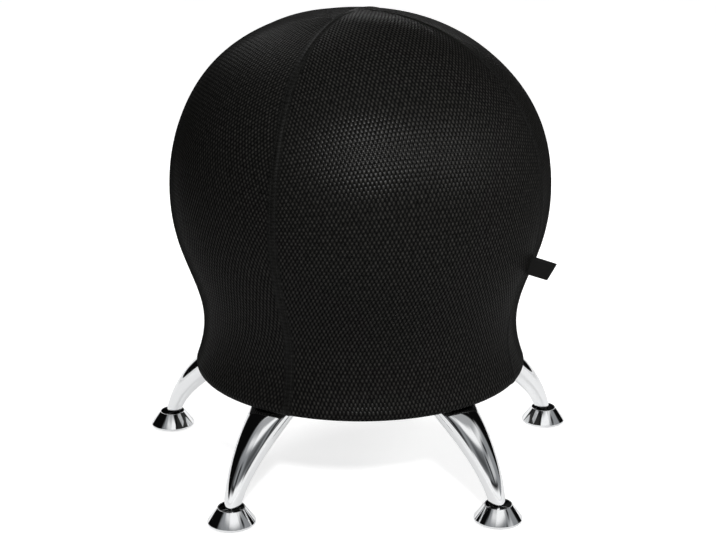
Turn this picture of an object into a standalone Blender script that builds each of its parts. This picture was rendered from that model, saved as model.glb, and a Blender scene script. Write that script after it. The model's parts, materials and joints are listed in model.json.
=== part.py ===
"""Balance stool.

An inflated ball under a stretch mesh cover rests on a round board. Five horn legs are bolted under
the board, and each stands on a bell foot that tilts on a ball stud. Lengths are metres, +Z is up,
the floor is z = 0, and the origin is the middle of the five-legged footprint's box.
"""
import math

import bmesh
import bpy
from mathutils import Matrix, Vector
from mathutils.geometry import interpolate_bezier

# Air left between pieces that touch
GAP = 0.0003

# Whole stool, from the floor to the cover's crown
STOOL_HEIGHT = 0.5840

# Ball, squeezed between its cover and the board
BALL_RADIUS = 0.2382
BALL_BELLY = 0.2214          # equator down to the board
BALL_PATCH_RADIUS = 0.070    # flat patch that rests on the board
BALL_WALL = 0.0018
CROWN_POWER = 2.15           # 2 is an ellipse, more is a flatter crown

# Valve of the ball
VALVE_BELOW_EQUATOR_DEG = 44.0
VALVE_MERIDIAN = 10          # counted in turned segments from the tab's seam
VALVE_HOLE_RADIUS = 0.0050
PLUG_HEAD_OVERLAP = 0.0040   # head past the hole
PLUG_HEAD_THICKNESS = 0.0020
PLUG_STEM_LENGTH = 0.0120

# Round board, with a full round edge
BOARD_UNDERSIDE = 0.1263
BOARD_RADIUS = 0.2111
BOARD_THICKNESS = 0.0120

# Cover: four gores from the crown to a hem under the board
FABRIC = 0.0030
GORE_COUNT = 4
TAB_SEAM_DEG = -26.0         # turn of the seam that holds the tab, from +X towards +Y
NECK_DROP = 0.0710           # equator down to where the cover leaves the ball
NECK_BALL_PULL = 0.0547      # length of the neck curve's handle at the ball
NECK_RIM_PULL = 0.0708       # length of its handle at the board's edge
NECK_RIM_LEAN_DEG = 20.3
HEM_REACH = 0.0110           # flat hem under the board, past the round edge

# Side tab, a folded tape
TAB_DROP = 0.0770            # equator down to the tab's middle
TAB_LENGTH = 0.0294
TAB_HEIGHT = 0.0246
TAB_THICKNESS = 0.0024
TAB_CORNER = 0.0015
TAB_RISE_DEG = 8.9           # tab's edges, up from square to the cover
TAB_SLANT_DEG = 8.3          # tab's folded end, leaning out at its top

# Legs: horns that run from a mouth under the board to a round end in the foot
LEG_COUNT = 5
LEG_INSET = 0.0020           # mouth inside the board's radius
LEG_MOUTH_LENGTH = 0.0598
LEG_MOUTH_WIDTH = 0.0622
LEG_END_RADIUS = 0.0098
LEG_LEAN_DEG = 11.5          # lean of the leg's lower end and of its stud
LEG_SHOULDER_PULL = 0.0101   # handles of the outer edge, at the mouth and at the end
LEG_SHIN_PULL = 0.0573
LEG_HEEL_PULL = 0.0579       # handles of the inner edge, at the mouth and at the end
LEG_HEEL_FALL_DEG = 38.1
LEG_CALF_PULL = 0.0409
LEG_WALL = 0.0025
LEG_HOLLOW_SHARE = 0.55      # how far down the horn is hollow; its end is solid for the stud

# Mounting plates
PLATE_THICKNESS = 0.0040
PLATE_WIDTH = 0.0640
PLATE_LENGTH = 0.0870
PLATE_CORNER = 0.0100
PLATE_CLEARANCE = 0.0020     # round corners to the hem cord

# Bolts and tee nuts
BOLT_RADIUS = 0.0030
BOLT_HEAD_SHOULDER = 0.0026  # head past the shank
BOLT_HEAD_HEIGHT = 0.0034
BOLT_SOCKET_RADIUS = 0.0022
BOLT_SOCKET_DEPTH = 0.0020
BOLT_SIDE = 0.0140           # bolt to the plate's side
BOLT_EDGE = 0.0220           # bolt to the plate's inner end
BOLT_SHORT_OF_TOP = 0.0030   # bolt's end below the board's top
NUT_WALL = 0.0013
NUT_BARREL_LENGTH = 0.0110
NUT_FLANGE_WIDTH = 0.0044    # flange past the barrel
NUT_FLANGE_THICKNESS = 0.0014

# Feet
FOOT_CIRCLE_RADIUS = 0.2723
FOOT_RADIUS = 0.0294
FOOT_HEIGHT = 0.0205
BELL_MOUTH_ROOM = 0.0031     # leg to the bell's mouth, so that the foot can tilt
BELL_WALL = 0.0015
BELL_LIP_HEIGHT = 0.0034
BELL_LIFT = 0.0008           # bell's lip above the floor
SOCKET_FLOOR = 0.0042        # pad under the stud's socket
STUD_BALL_RADIUS = 0.0050
STUD_NECK_ROOM = 0.0009      # neck to the socket's mouth, so that the foot can tilt
STUD_THREAD_RADIUS = 0.0040
STUD_LIFT = 0.0085           # pivot up to the leg's end
STUD_DEPTH = 0.0220          # thread inside the leg
SOCKET_HOLD = 0.0028         # socket's mouth above the pivot
SOCKET_WALL = 0.0038

# Facets
GORE_STEPS = 8               # round each gore
CROWN_STEPS = 7              # down the ball's upper half
HELD_STEPS = 2               # from the equator to where the cover leaves the ball
FREE_STEPS = 4               # from there to the board
NECK_POINTS = 7
EDGE_STEP_DEG = 30           # round the board's edge
FOOT_STEPS = 20
SMALL_STEPS = 10
SOCKET_STEPS = 5             # down the stud's ball and its socket
CORD_SIDES = 6
HEXAGON_SIDES = 6
LEG_SIDES = 12
LEG_RINGS = 10
CORNER_STEPS = 3             # round the plates' and the tab's corners
SHARP_DEG = 40.0             # edges bent more than this stay sharp
MERGE_DISTANCE = 0.00001

# Values that follow from the sizes above
BOARD_TOP = BOARD_UNDERSIDE + BOARD_THICKNESS
EDGE_RADIUS = BOARD_THICKNESS / 2
EDGE_CENTRE = (BOARD_RADIUS - EDGE_RADIUS, BOARD_UNDERSIDE + EDGE_RADIUS)
EQUATOR = BOARD_TOP + GAP + BALL_BELLY
BALL_CROWN = STOOL_HEIGHT - FABRIC - GAP - EQUATOR    # equator up to the ball's top
BELLY_AXIS = BALL_BELLY / math.sqrt(1 - (BALL_PATCH_RADIUS / BALL_RADIUS) ** 2)
ROUND_STEPS = GORE_COUNT * GORE_STEPS    # shared by the ball, the board and the cover
HEM_RADIUS = BOARD_RADIUS - EDGE_RADIUS - HEM_REACH
CORD_RADIUS = FABRIC / 2
CORD_CIRCLE_RADIUS = HEM_RADIUS - GAP - CORD_RADIUS
PLATE_TOP = BOARD_UNDERSIDE - GAP
PLATE_BOTTOM = PLATE_TOP - PLATE_THICKNESS
CORNER_REACH = ((CORD_CIRCLE_RADIUS - CORD_RADIUS) * math.cos(math.pi / ROUND_STEPS)
                - PLATE_CLEARANCE - PLATE_CORNER)
PLATE_OUTER = PLATE_CORNER + math.sqrt(CORNER_REACH ** 2 - (PLATE_WIDTH / 2 - PLATE_CORNER) ** 2)
BOLT_CIRCLE_RADIUS = PLATE_OUTER - PLATE_LENGTH + BOLT_EDGE
BOLT_HEAD_RADIUS = BOLT_RADIUS + BOLT_HEAD_SHOULDER
NUT_BARREL_RADIUS = BOLT_RADIUS + GAP + NUT_WALL
NUT_FLANGE_RADIUS = NUT_BARREL_RADIUS + NUT_FLANGE_WIDTH
PLUG_HEAD_RADIUS = VALVE_HOLE_RADIUS + PLUG_HEAD_OVERLAP
LEG_TOP = PLATE_TOP - max(PLATE_THICKNESS, FABRIC) - GAP
LEG_LEAN = math.radians(LEG_LEAN_DEG)
LEG_STEP = 2 * math.pi / LEG_COUNT
LEG_TURNS = [LEG_STEP * (index - 0.5) for index in range(LEG_COUNT)]    # from -Y towards +X
BORE_RADIUS = STUD_THREAD_RADIUS + GAP
SOCKET_RADIUS = STUD_BALL_RADIUS + GAP
SOCKET_MOUTH = math.sqrt(SOCKET_RADIUS ** 2 - SOCKET_HOLD ** 2) * math.cos(math.pi / FOOT_STEPS)
PIVOT_HEIGHT = SOCKET_FLOOR + SOCKET_RADIUS
STUD_NECK_RADIUS = SOCKET_MOUTH - SOCKET_HOLD * math.tan(LEG_LEAN) - STUD_NECK_ROOM
LEG_REACH = (FOOT_HEIGHT - PIVOT_HEIGHT) * math.tan(LEG_LEAN) + LEG_END_RADIUS / math.cos(LEG_LEAN)
BELL_TOP_RADIUS = LEG_REACH + BELL_MOUTH_ROOM + BELL_WALL
PAD_RADIUS = FOOT_RADIUS - BELL_WALL - GAP
PAD_THICKNESS = BELL_LIP_HEIGHT - GAP
VALVE_ANGLE = math.radians(VALVE_BELOW_EQUATOR_DEG)

# Two legs face -Y and one faces +Y, so the footprint's middle lies behind the stool's axis
FRONT_REACH = max(math.cos(turn) for turn in LEG_TURNS)
BACK_REACH = max(-math.cos(turn) for turn in LEG_TURNS)
AXIS_Y = FOOT_CIRCLE_RADIUS * (FRONT_REACH - BACK_REACH) / 2


def clear_scene():
    for obj in list(bpy.data.objects):
        bpy.data.objects.remove(obj)


def make_collection(name):
    collection = bpy.data.collections.new(name)
    bpy.context.scene.collection.children.link(collection)
    return collection


def make_material(name, colour, roughness, metallic=0.0):
    material = bpy.data.materials.new(name)
    material.use_nodes = True
    shader = material.node_tree.nodes["Principled BSDF"]
    shader.inputs["Base Color"].default_value = (*colour, 1.0)
    shader.inputs["Roughness"].default_value = roughness
    shader.inputs["Metallic"].default_value = metallic
    return material


def add_empty(name, parent=None, location=(0, 0, 0), turn=0.0):
    empty = bpy.data.objects.new(name, None)
    bpy.context.scene.collection.objects.link(empty)
    empty.parent = parent
    empty.location = location
    empty.rotation_euler = (0, 0, turn)
    return empty


def add_part(collection, name, mesh, material, parent, location=(0, 0, 0), rotation=(0, 0, 0)):
    part = bpy.data.objects.new(name, mesh)
    collection.objects.link(part)
    if not mesh.materials:
        mesh.materials.append(material)
    part.parent = parent
    part.location = location
    part.rotation_euler = rotation
    return part


def baked(obj):
    """Mesh of an object as its modifiers leave it; the object is removed."""
    depsgraph = bpy.context.evaluated_depsgraph_get()
    mesh = bpy.data.meshes.new_from_object(obj.evaluated_get(depsgraph))
    bpy.data.objects.remove(obj)
    mesh.shade_smooth()
    mesh.set_sharp_from_angle(angle=math.radians(SHARP_DEG))
    return mesh


def blank_object(name, mesh):
    obj = bpy.data.objects.new(name, mesh)
    bpy.context.scene.collection.objects.link(obj)
    return obj


def turned(name, outline, steps, ring=False, wall=0.0):
    """Turned body. The outline is (radius, height) points, down the outer side from the top."""
    mesh = bpy.data.meshes.new(name)
    count = len(outline)
    edges = [(i, i + 1) for i in range(count - 1)]
    if ring:
        edges.append((count - 1, 0))
    mesh.from_pydata([(radius, 0, height) for radius, height in outline], edges, [])
    obj = blank_object(name, mesh)
    screw = obj.modifiers.new("turn", "SCREW")
    screw.steps = steps
    screw.render_steps = steps
    screw.use_merge_vertices = True
    screw.merge_threshold = MERGE_DISTANCE
    if wall:
        shell = obj.modifiers.new("wall", "SOLIDIFY")
        shell.thickness = wall
        shell.offset = -1
        shell.use_even_offset = True
    return baked(obj)


def rod(name, radius, bottom, top, sides):
    """Upright round bar, or a bar with as many sides as are asked for."""
    bm = bmesh.new()
    place = Matrix.Translation((0, 0, (bottom + top) / 2))
    bmesh.ops.create_cone(bm, cap_ends=True, segments=sides, radius1=radius, radius2=radius,
                          depth=top - bottom, matrix=place)
    mesh = bpy.data.meshes.new(name)
    bm.to_mesh(mesh)
    bm.free()
    return mesh


def cut(mesh, cutters):
    """Mesh with every (cutter mesh, matrix) taken out of it."""
    obj = blank_object(mesh.name, mesh)
    tools = []
    for tool_mesh, matrix in cutters:
        tool = blank_object("cutter", tool_mesh)
        tool.matrix_world = matrix
        tools.append(tool)
        boolean = obj.modifiers.new("cut", "BOOLEAN")
        boolean.operation = "DIFFERENCE"
        boolean.solver = "EXACT"
        boolean.object = tool
    result = baked(obj)
    for tool in tools:
        bpy.data.objects.remove(tool)
    return result


def arc(centre, radius, degrees):
    """Points of a round stretch at the given angles, 0 pointing outward and 90 up."""
    turns = [math.radians(degree) for degree in degrees]
    return [(centre[0] + radius * math.cos(a), centre[1] + radius * math.sin(a)) for a in turns]


def shares(count):
    """Even steps from 0 to 1, both ends included."""
    return [step / count for step in range(count + 1)]


def offset(outline, distance):
    """Outline moved outward; a point on the axis stays on it."""
    moved = []
    last = len(outline) - 1
    for i, (radius, height) in enumerate(outline):
        before = outline[max(i - 1, 0)]
        after = outline[min(i + 1, last)]
        along = Vector((after[0] - before[0], after[1] - before[1])).normalized()
        if radius == 0:
            along = Vector((1, 0))
        moved.append((radius - along.y * distance, height + along.x * distance))
    return moved


def ball_crown():
    """Ball's outline from the top to the equator."""
    points = []
    for share in shares(CROWN_STEPS):
        turn = share * math.pi / 2
        radius = BALL_RADIUS * math.sin(turn) ** (2 / CROWN_POWER)
        rise = BALL_CROWN * max(math.cos(turn), 0) ** (2 / CROWN_POWER)
        points.append((radius, EQUATOR + rise))
    return points


def belly_point(turn):
    """Point of the ball's lower half, by its angle below the equator."""
    return (BALL_RADIUS * math.cos(turn), EQUATOR - BELLY_AXIS * math.sin(turn))


def ball_belly(start, end, steps):
    """Ball's outline below the equator, between two depths, without its first point."""
    low = math.asin(start / BELLY_AXIS)
    high = math.asin(end / BELLY_AXIS)
    return [belly_point(low + (high - low) * share) for share in shares(steps)[1:]]


def ball_outline():
    patch = [(0, EQUATOR - BALL_BELLY)]
    held = ball_belly(0, NECK_DROP, HELD_STEPS)
    free = ball_belly(NECK_DROP, BALL_BELLY, FREE_STEPS)
    return ball_crown() + held + free + patch


def cover_outline():
    """Outer face of the cover: over the ball, in at the neck, round the board's edge to the hem."""
    skin = GAP + FABRIC
    over_ball = offset(ball_crown() + ball_belly(0, NECK_DROP, HELD_STEPS), skin)
    leave = Vector(over_ball[-1])
    turn = math.asin(NECK_DROP / BELLY_AXIS)
    leave_way = -Vector((BALL_RADIUS * math.sin(turn), BELLY_AXIS * math.cos(turn))).normalized()
    edge = EDGE_RADIUS + skin
    meet = Vector(arc(EDGE_CENTRE, edge, [NECK_RIM_LEAN_DEG])[0])
    lean = math.radians(NECK_RIM_LEAN_DEG)
    meet_way = Vector((-math.sin(lean), math.cos(lean)))
    neck = interpolate_bezier(leave, leave + leave_way * NECK_BALL_PULL,
                              meet + meet_way * NECK_RIM_PULL, meet, NECK_POINTS)
    rim = arc(EDGE_CENTRE, edge, range(0, -91, -EDGE_STEP_DEG))
    hem = [(HEM_RADIUS, EDGE_CENTRE[1] - edge)]
    return over_ball + [tuple(point) for point in neck[1:]] + rim + hem


def gore_mesh():
    """One gore: the cover's section turned through its share of the circle."""
    outer = cover_outline()
    section = outer + offset(outer, -FABRIC)[::-1]
    bm = bmesh.new()
    bm.faces.new([bm.verts.new((radius, 0, height)) for radius, height in section])
    bmesh.ops.spin(bm, geom=bm.verts[:] + bm.edges[:] + bm.faces[:], cent=(0, 0, 0), axis=(0, 0, 1),
                   angle=2 * math.pi / GORE_COUNT, steps=GORE_STEPS)
    bmesh.ops.remove_doubles(bm, verts=bm.verts, dist=MERGE_DISTANCE)
    bmesh.ops.recalc_face_normals(bm, faces=bm.faces)
    mesh = bpy.data.meshes.new("gore")
    bm.to_mesh(mesh)
    bm.free()
    mesh.shade_smooth()
    mesh.set_sharp_from_angle(angle=math.radians(SHARP_DEG))
    return mesh


def tab_mesh():
    """Flat tab along +X, with its outer corners rounded and its tape sewn in askew."""
    bm = bmesh.new()
    size = Matrix.Diagonal((TAB_LENGTH, TAB_THICKNESS, TAB_HEIGHT, 1))
    place = Matrix.Translation((TAB_LENGTH / 2, 0, 0))
    bmesh.ops.create_cube(bm, size=1, matrix=place @ size)
    corners = [edge for edge in bm.edges if all(v.co.x > TAB_LENGTH / 2 for v in edge.verts)
               and abs(edge.verts[0].co.z - edge.verts[1].co.z) < TAB_CORNER]
    bmesh.ops.bevel(bm, geom=corners, offset=TAB_CORNER, segments=CORNER_STEPS, profile=0.5,
                     affect="EDGES")
    rise = math.tan(math.radians(TAB_RISE_DEG))
    slant = math.tan(math.radians(TAB_SLANT_DEG))
    for vertex in bm.verts:
        along, _, up = vertex.co
        vertex.co.x += up * slant * along / TAB_LENGTH
        vertex.co.z += along * rise
    mesh = bpy.data.meshes.new("tab")
    bm.to_mesh(mesh)
    bm.free()
    return mesh


def tab_place():
    """Root of the tab on the cover and its droop, square to the cover there."""
    outline = cover_outline()
    height = EQUATOR - TAB_DROP
    for upper, lower in zip(outline, outline[1:]):
        if upper[1] >= height >= lower[1]:
            share = (upper[1] - height) / (upper[1] - lower[1])
            radius = upper[0] + (lower[0] - upper[0]) * share
            droop = math.atan2(upper[0] - lower[0], upper[1] - lower[1])
            return radius, height, droop
    raise ValueError("the tab lies off the cover")


def leg_edges():
    """Outer and inner edge of the horn, as (radius, height) points from the mouth to the end."""
    up = Vector((-math.sin(LEG_LEAN), math.cos(LEG_LEAN)))
    out = Vector((math.cos(LEG_LEAN), math.sin(LEG_LEAN)))
    end = Vector((FOOT_CIRCLE_RADIUS, PIVOT_HEIGHT)) + up * STUD_LIFT
    shoulder = Vector((BOARD_RADIUS - LEG_INSET, LEG_TOP))
    heel = shoulder - Vector((LEG_MOUTH_LENGTH, 0))
    fall = math.radians(LEG_HEEL_FALL_DEG)
    heel_way = Vector((math.cos(fall), -math.sin(fall)))
    shin = end + out * LEG_END_RADIUS
    calf = end - out * LEG_END_RADIUS
    outer = interpolate_bezier(shoulder, shoulder + Vector((LEG_SHOULDER_PULL, 0)),
                               shin + up * LEG_SHIN_PULL, shin, LEG_RINGS)
    inner = interpolate_bezier(heel, heel + heel_way * LEG_HEEL_PULL,
                               calf + up * LEG_CALF_PULL, calf, LEG_RINGS)
    return outer, inner


def leg_rings(wall):
    """Ellipses between the horn's two edges, mouth first, drawn in by a wall."""
    rings = []
    for share, outer, inner in zip(shares(LEG_RINGS - 1), *leg_edges()):
        middle = (outer + inner) / 2
        half = (outer - inner) / 2
        half -= half.normalized() * wall
        half_width = LEG_MOUTH_WIDTH / 2 + (LEG_END_RADIUS - LEG_MOUTH_WIDTH / 2) * share - wall
        ring = []
        for side in range(LEG_SIDES):
            turn = 2 * math.pi * side / LEG_SIDES
            point = middle + half * math.sin(turn)
            ring.append(Vector((half_width * math.cos(turn), -point.x, point.y)))
        rings.append(ring)
    return rings


def lofted(name, rings):
    """Closed body through rings of points, with a flat face over each end."""
    bm = bmesh.new()
    loops = [[bm.verts.new(point) for point in ring] for ring in rings]
    for loop, following in zip(loops, loops[1:]):
        for i in range(LEG_SIDES):
            j = (i + 1) % LEG_SIDES
            bm.faces.new((loop[i], loop[j], following[j], following[i]))
    bm.faces.new(loops[0])
    bm.faces.new(loops[-1])
    bmesh.ops.recalc_face_normals(bm, faces=bm.faces)
    mesh = bpy.data.meshes.new(name)
    bm.to_mesh(mesh)
    bm.free()
    return mesh


def leg_mesh():
    """Horn, hollow from its mouth down, with the stud's bore in its solid end."""
    inside = leg_rings(LEG_WALL)
    above = [point + Vector((0, 0, LEG_WALL)) for point in inside[0]]
    hollow = lofted("hollow", [above] + inside[:round(LEG_RINGS * LEG_HOLLOW_SHARE)])
    bore = rod("bore", BORE_RADIUS, 0, STUD_LIFT + STUD_DEPTH + GAP, SMALL_STEPS)
    at_pivot = Matrix.Translation((0, -FOOT_CIRCLE_RADIUS, PIVOT_HEIGHT))
    bore_place = at_pivot @ Matrix.Rotation(-LEG_LEAN, 4, "X")
    return cut(lofted("leg", leg_rings(0)), [(hollow, Matrix()), (bore, bore_place)])


def bolt_places():
    aside = PLATE_WIDTH / 2 - BOLT_SIDE
    return [(side * aside, -BOLT_CIRCLE_RADIUS) for side in (-1, 1)]


def plate_mesh():
    """Flat plate with round corners and two bolt holes."""
    bm = bmesh.new()
    size = Matrix.Diagonal((PLATE_WIDTH, PLATE_LENGTH, PLATE_THICKNESS, 1))
    place = Matrix.Translation((0, PLATE_LENGTH / 2 - PLATE_OUTER, PLATE_TOP - PLATE_THICKNESS / 2))
    bmesh.ops.create_cube(bm, size=1, matrix=place @ size)
    upright = [edge for edge in bm.edges
               if abs(edge.verts[0].co.z - edge.verts[1].co.z) > PLATE_THICKNESS / 2]
    bmesh.ops.bevel(bm, geom=upright, offset=PLATE_CORNER, segments=CORNER_STEPS, profile=0.5,
                     affect="EDGES")
    mesh = bpy.data.meshes.new("plate")
    bm.to_mesh(mesh)
    bm.free()
    hole = rod("hole", BOLT_RADIUS + GAP, PLATE_BOTTOM - PLATE_THICKNESS, PLATE_TOP + PLATE_THICKNESS,
               SMALL_STEPS)
    return cut(mesh, [(hole, Matrix.Translation((x, y, 0))) for x, y in bolt_places()])


def bolt_mesh():
    """Button-head bolt, head down, with a hexagon socket."""
    seat = PLATE_BOTTOM - GAP
    face = seat - BOLT_HEAD_HEIGHT
    end = BOARD_TOP - BOLT_SHORT_OF_TOP
    outline = [(0, end), (BOLT_RADIUS, end), (BOLT_RADIUS, seat), (BOLT_HEAD_RADIUS, seat),
               (BOLT_HEAD_RADIUS, seat - BOLT_HEAD_HEIGHT / 3),
               (BOLT_HEAD_RADIUS - BOLT_HEAD_HEIGHT / 2, face), (0, face)]
    socket = rod("socket", BOLT_SOCKET_RADIUS, face - BOLT_SOCKET_DEPTH, face + BOLT_SOCKET_DEPTH,
                 HEXAGON_SIDES)
    return cut(turned("bolt", outline, SMALL_STEPS), [(socket, Matrix())])


def nut_outline(clearance):
    """Tee nut's outer side, from the top; a clearance widens it for the board's hole."""
    top = BOARD_TOP - GAP + clearance
    shoulder = BOARD_TOP - GAP - NUT_FLANGE_THICKNESS - clearance
    return [(NUT_FLANGE_RADIUS + clearance, top), (NUT_FLANGE_RADIUS + clearance, shoulder),
            (NUT_BARREL_RADIUS + clearance, shoulder)]


def tee_nut_mesh():
    low = BOARD_TOP - GAP - NUT_BARREL_LENGTH
    bore = BOLT_RADIUS + GAP
    outline = nut_outline(0) + [(NUT_BARREL_RADIUS, low), (bore, low), (bore, BOARD_TOP - GAP)]
    return turned("tee_nut", outline, SMALL_STEPS, ring=True)


def board_mesh():
    """Round board with a stepped hole for each bolt and its tee nut."""
    edge = arc(EDGE_CENTRE, EDGE_RADIUS, range(90, -91, -EDGE_STEP_DEG))
    outline = [(0, BOARD_TOP)] + edge + [(0, BOARD_UNDERSIDE)]
    board = turned("board", outline, ROUND_STEPS)
    flange = nut_outline(GAP)
    above = BOARD_TOP + NUT_FLANGE_THICKNESS
    below = BOARD_UNDERSIDE - NUT_FLANGE_THICKNESS
    hole_outline = [(0, above), (flange[0][0], above)] + flange[1:] + [(flange[2][0], below), (0, below)]
    hole = turned("hole", hole_outline, SMALL_STEPS)
    holes = []
    for turn in LEG_TURNS:
        leg_way = Matrix.Rotation(turn - math.radians(TAB_SEAM_DEG), 4, "Z")
        holes += [(hole, leg_way @ Matrix.Translation((x, y, 0))) for x, y in bolt_places()]
    return cut(board, holes)


def ball_mesh():
    """Thin shell, opened by the valve's hole."""
    shell = turned("ball", ball_outline(), ROUND_STEPS, wall=BALL_WALL)
    drill = rod("drill", VALVE_HOLE_RADIUS, -PLUG_STEM_LENGTH, PLUG_STEM_LENGTH, SMALL_STEPS)
    location, rotation = valve_place()
    return cut(shell, [(drill, Matrix.Translation(location) @ rotation.to_matrix().to_4x4())])


def valve_place():
    """Mouth of the valve on the ball and the turn that points +Z straight out of it."""
    radius, height = belly_point(VALVE_ANGLE)
    slope = math.atan2(BALL_RADIUS * math.sin(VALVE_ANGLE), BELLY_AXIS * math.cos(VALVE_ANGLE))
    turn = 2 * math.pi * VALVE_MERIDIAN / ROUND_STEPS
    rotation = Matrix.Rotation(turn, 3, "Z") @ Matrix.Rotation(math.pi / 2 + slope, 3, "Y")
    return Vector((radius * math.cos(turn), radius * math.sin(turn), height)), rotation.to_euler()


def plug_mesh():
    """Mushroom plug: a head outside the ball and a stem in the valve's hole."""
    stem = VALVE_HOLE_RADIUS - GAP
    head = GAP + PLUG_HEAD_THICKNESS
    outline = [(0, head), (PLUG_HEAD_RADIUS - PLUG_HEAD_THICKNESS / 2, head),
               (PLUG_HEAD_RADIUS, GAP + PLUG_HEAD_THICKNESS / 2), (PLUG_HEAD_RADIUS, GAP),
               (stem, GAP), (stem, -PLUG_STEM_LENGTH), (0, -PLUG_STEM_LENGTH)]
    return turned("plug", outline, SMALL_STEPS)


def bell_mesh():
    """Conical bell with an open top, about the foot's pivot."""
    foot = FOOT_RADIUS
    outline = [(BELL_TOP_RADIUS, FOOT_HEIGHT), (foot, BELL_LIP_HEIGHT), (foot, BELL_LIFT),
               (foot - BELL_WALL, BELL_LIFT), (foot - BELL_WALL, BELL_LIP_HEIGHT),
               (BELL_TOP_RADIUS - BELL_WALL, FOOT_HEIGHT)]
    about_pivot = [(radius, height - PIVOT_HEIGHT) for radius, height in outline]
    return turned("bell", about_pivot, FOOT_STEPS, ring=True)


def pad_mesh():
    """Flat pad with a round socket in a boss, about the foot's pivot."""
    mouth_deg = math.degrees(math.asin(SOCKET_HOLD / SOCKET_RADIUS))
    socket = arc((0, 0), SOCKET_RADIUS,
                 [-90 + (mouth_deg + 90) * share for share in shares(SOCKET_STEPS)])
    boss = SOCKET_RADIUS + SOCKET_WALL
    floor = -PIVOT_HEIGHT
    top = floor + PAD_THICKNESS
    outline = [(0, -SOCKET_RADIUS)] + socket[1:] + [
        (boss, SOCKET_HOLD), (boss, top), (PAD_RADIUS, top), (PAD_RADIUS, floor), (0, floor)]
    return turned("pad", outline, FOOT_STEPS)


def stud_mesh():
    """Ball stud about its ball's centre, with the thread pointing up."""
    end = STUD_LIFT + STUD_DEPTH
    neck_deg = math.degrees(math.acos(STUD_NECK_RADIUS / STUD_BALL_RADIUS))
    ball = arc((0, 0), STUD_BALL_RADIUS,
               [neck_deg - (neck_deg + 90) * share for share in shares(SOCKET_STEPS)])
    outline = [(0, end), (STUD_THREAD_RADIUS, end), (STUD_THREAD_RADIUS, STUD_LIFT),
               (STUD_NECK_RADIUS, STUD_LIFT)] + ball[:-1] + [(0, -STUD_BALL_RADIUS)]
    return turned("stud", outline, SMALL_STEPS)


def cord_mesh():
    ring = arc((CORD_CIRCLE_RADIUS, PLATE_TOP - CORD_RADIUS), CORD_RADIUS,
               [90 - 360 * share for share in shares(CORD_SIDES)[:-1]])
    return turned("cord", ring, ROUND_STEPS, ring=True)


def build_seat(stool, axis):
    """Ball, cover, board and what is sewn to or held by them, turned to the cover's seams."""
    frame = add_empty("seam_frame", axis, turn=math.radians(TAB_SEAM_DEG))
    mesh_fabric = make_material("mesh_fabric", (0.012, 0.012, 0.011), 0.80)
    vinyl = make_material("ball_vinyl", (0.10, 0.10, 0.11), 0.45)
    plug_plastic = make_material("plug_plastic", (0.60, 0.60, 0.58), 0.40)
    plywood = make_material("painted_plywood", (0.018, 0.018, 0.018), 0.65)
    elastic = make_material("elastic_cord", (0.015, 0.015, 0.015), 0.85)
    tape = make_material("tab_tape", (0.010, 0.010, 0.010), 0.70)
    add_part(stool, "base_board", board_mesh(), plywood, frame)
    add_part(stool, "ball", ball_mesh(), vinyl, frame)
    location, rotation = valve_place()
    add_part(stool, "valve_plug", plug_mesh(), plug_plastic, frame, location, rotation)
    add_part(stool, "hem_cord", cord_mesh(), elastic, frame)

    gore = gore_mesh()
    seam_gap = GAP / (2 * math.sin(math.pi / GORE_COUNT))
    for index in range(GORE_COUNT):
        turn = 2 * math.pi * index / GORE_COUNT
        middle = turn + math.pi / GORE_COUNT
        apart = (seam_gap * math.cos(middle), seam_gap * math.sin(middle), 0)
        add_part(stool, f"cover_gore_{index + 1}", gore, mesh_fabric, frame, apart, (0, 0, turn))

    radius, height, droop = tab_place()
    root = (radius + GAP * math.cos(droop), 0, height - GAP * math.sin(droop))
    add_part(stool, "side_tab", tab_mesh(), tape, frame, root, (0, droop, 0))


def build_legs(stool, axis):
    """Five alike legs with their plates, fasteners and feet, each about its own empty."""
    chrome = make_material("chromed_steel", (0.80, 0.80, 0.82), 0.06, 1.0)
    zinc = make_material("zinc_plated_steel", (0.55, 0.55, 0.57), 0.30, 1.0)
    nylon = make_material("foot_nylon", (0.03, 0.03, 0.03), 0.55)
    leg, plate, bolt, nut = leg_mesh(), plate_mesh(), bolt_mesh(), tee_nut_mesh()
    stud, bell, pad = stud_mesh(), bell_mesh(), pad_mesh()
    pivot = (0, -FOOT_CIRCLE_RADIUS, PIVOT_HEIGHT)
    for index, turn in enumerate(LEG_TURNS, start=1):
        frame = add_empty(f"leg_frame_{index}", axis, turn=turn)
        add_part(stool, f"leg_{index}", leg, chrome, frame)
        add_part(stool, f"leg_plate_{index}", plate, chrome, frame)
        for (x, y), letter in zip(bolt_places(), "ab"):
            add_part(stool, f"leg_{index}_bolt_{letter}", bolt, zinc, frame, (x, y, 0))
            add_part(stool, f"leg_{index}_tee_nut_{letter}", nut, zinc, frame, (x, y, 0))
        add_part(stool, f"ball_stud_{index}", stud, zinc, frame, pivot, (-LEG_LEAN, 0, 0))
        foot = add_empty(f"foot_pivot_{index}", frame, pivot)
        add_part(stool, f"foot_bell_{index}", bell, chrome, foot)
        add_part(stool, f"foot_pad_{index}", pad, nylon, foot)


def main():
    clear_scene()
    stool = make_collection("balance_stool")
    axis = add_empty("stool_axis", location=(0, AXIS_Y, 0))
    build_seat(stool, axis)
    build_legs(stool, axis)


main()
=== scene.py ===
"""Balance stool: sews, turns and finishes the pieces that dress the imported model."""

import bisect
import json
import math

import bmesh
import bpy
from bpy.props import FloatProperty, FloatVectorProperty, IntProperty, PointerProperty
from bpy.types import Operator, Panel, PropertyGroup
from mathutils import Matrix, Vector
from mathutils.geometry import interpolate_bezier

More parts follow.
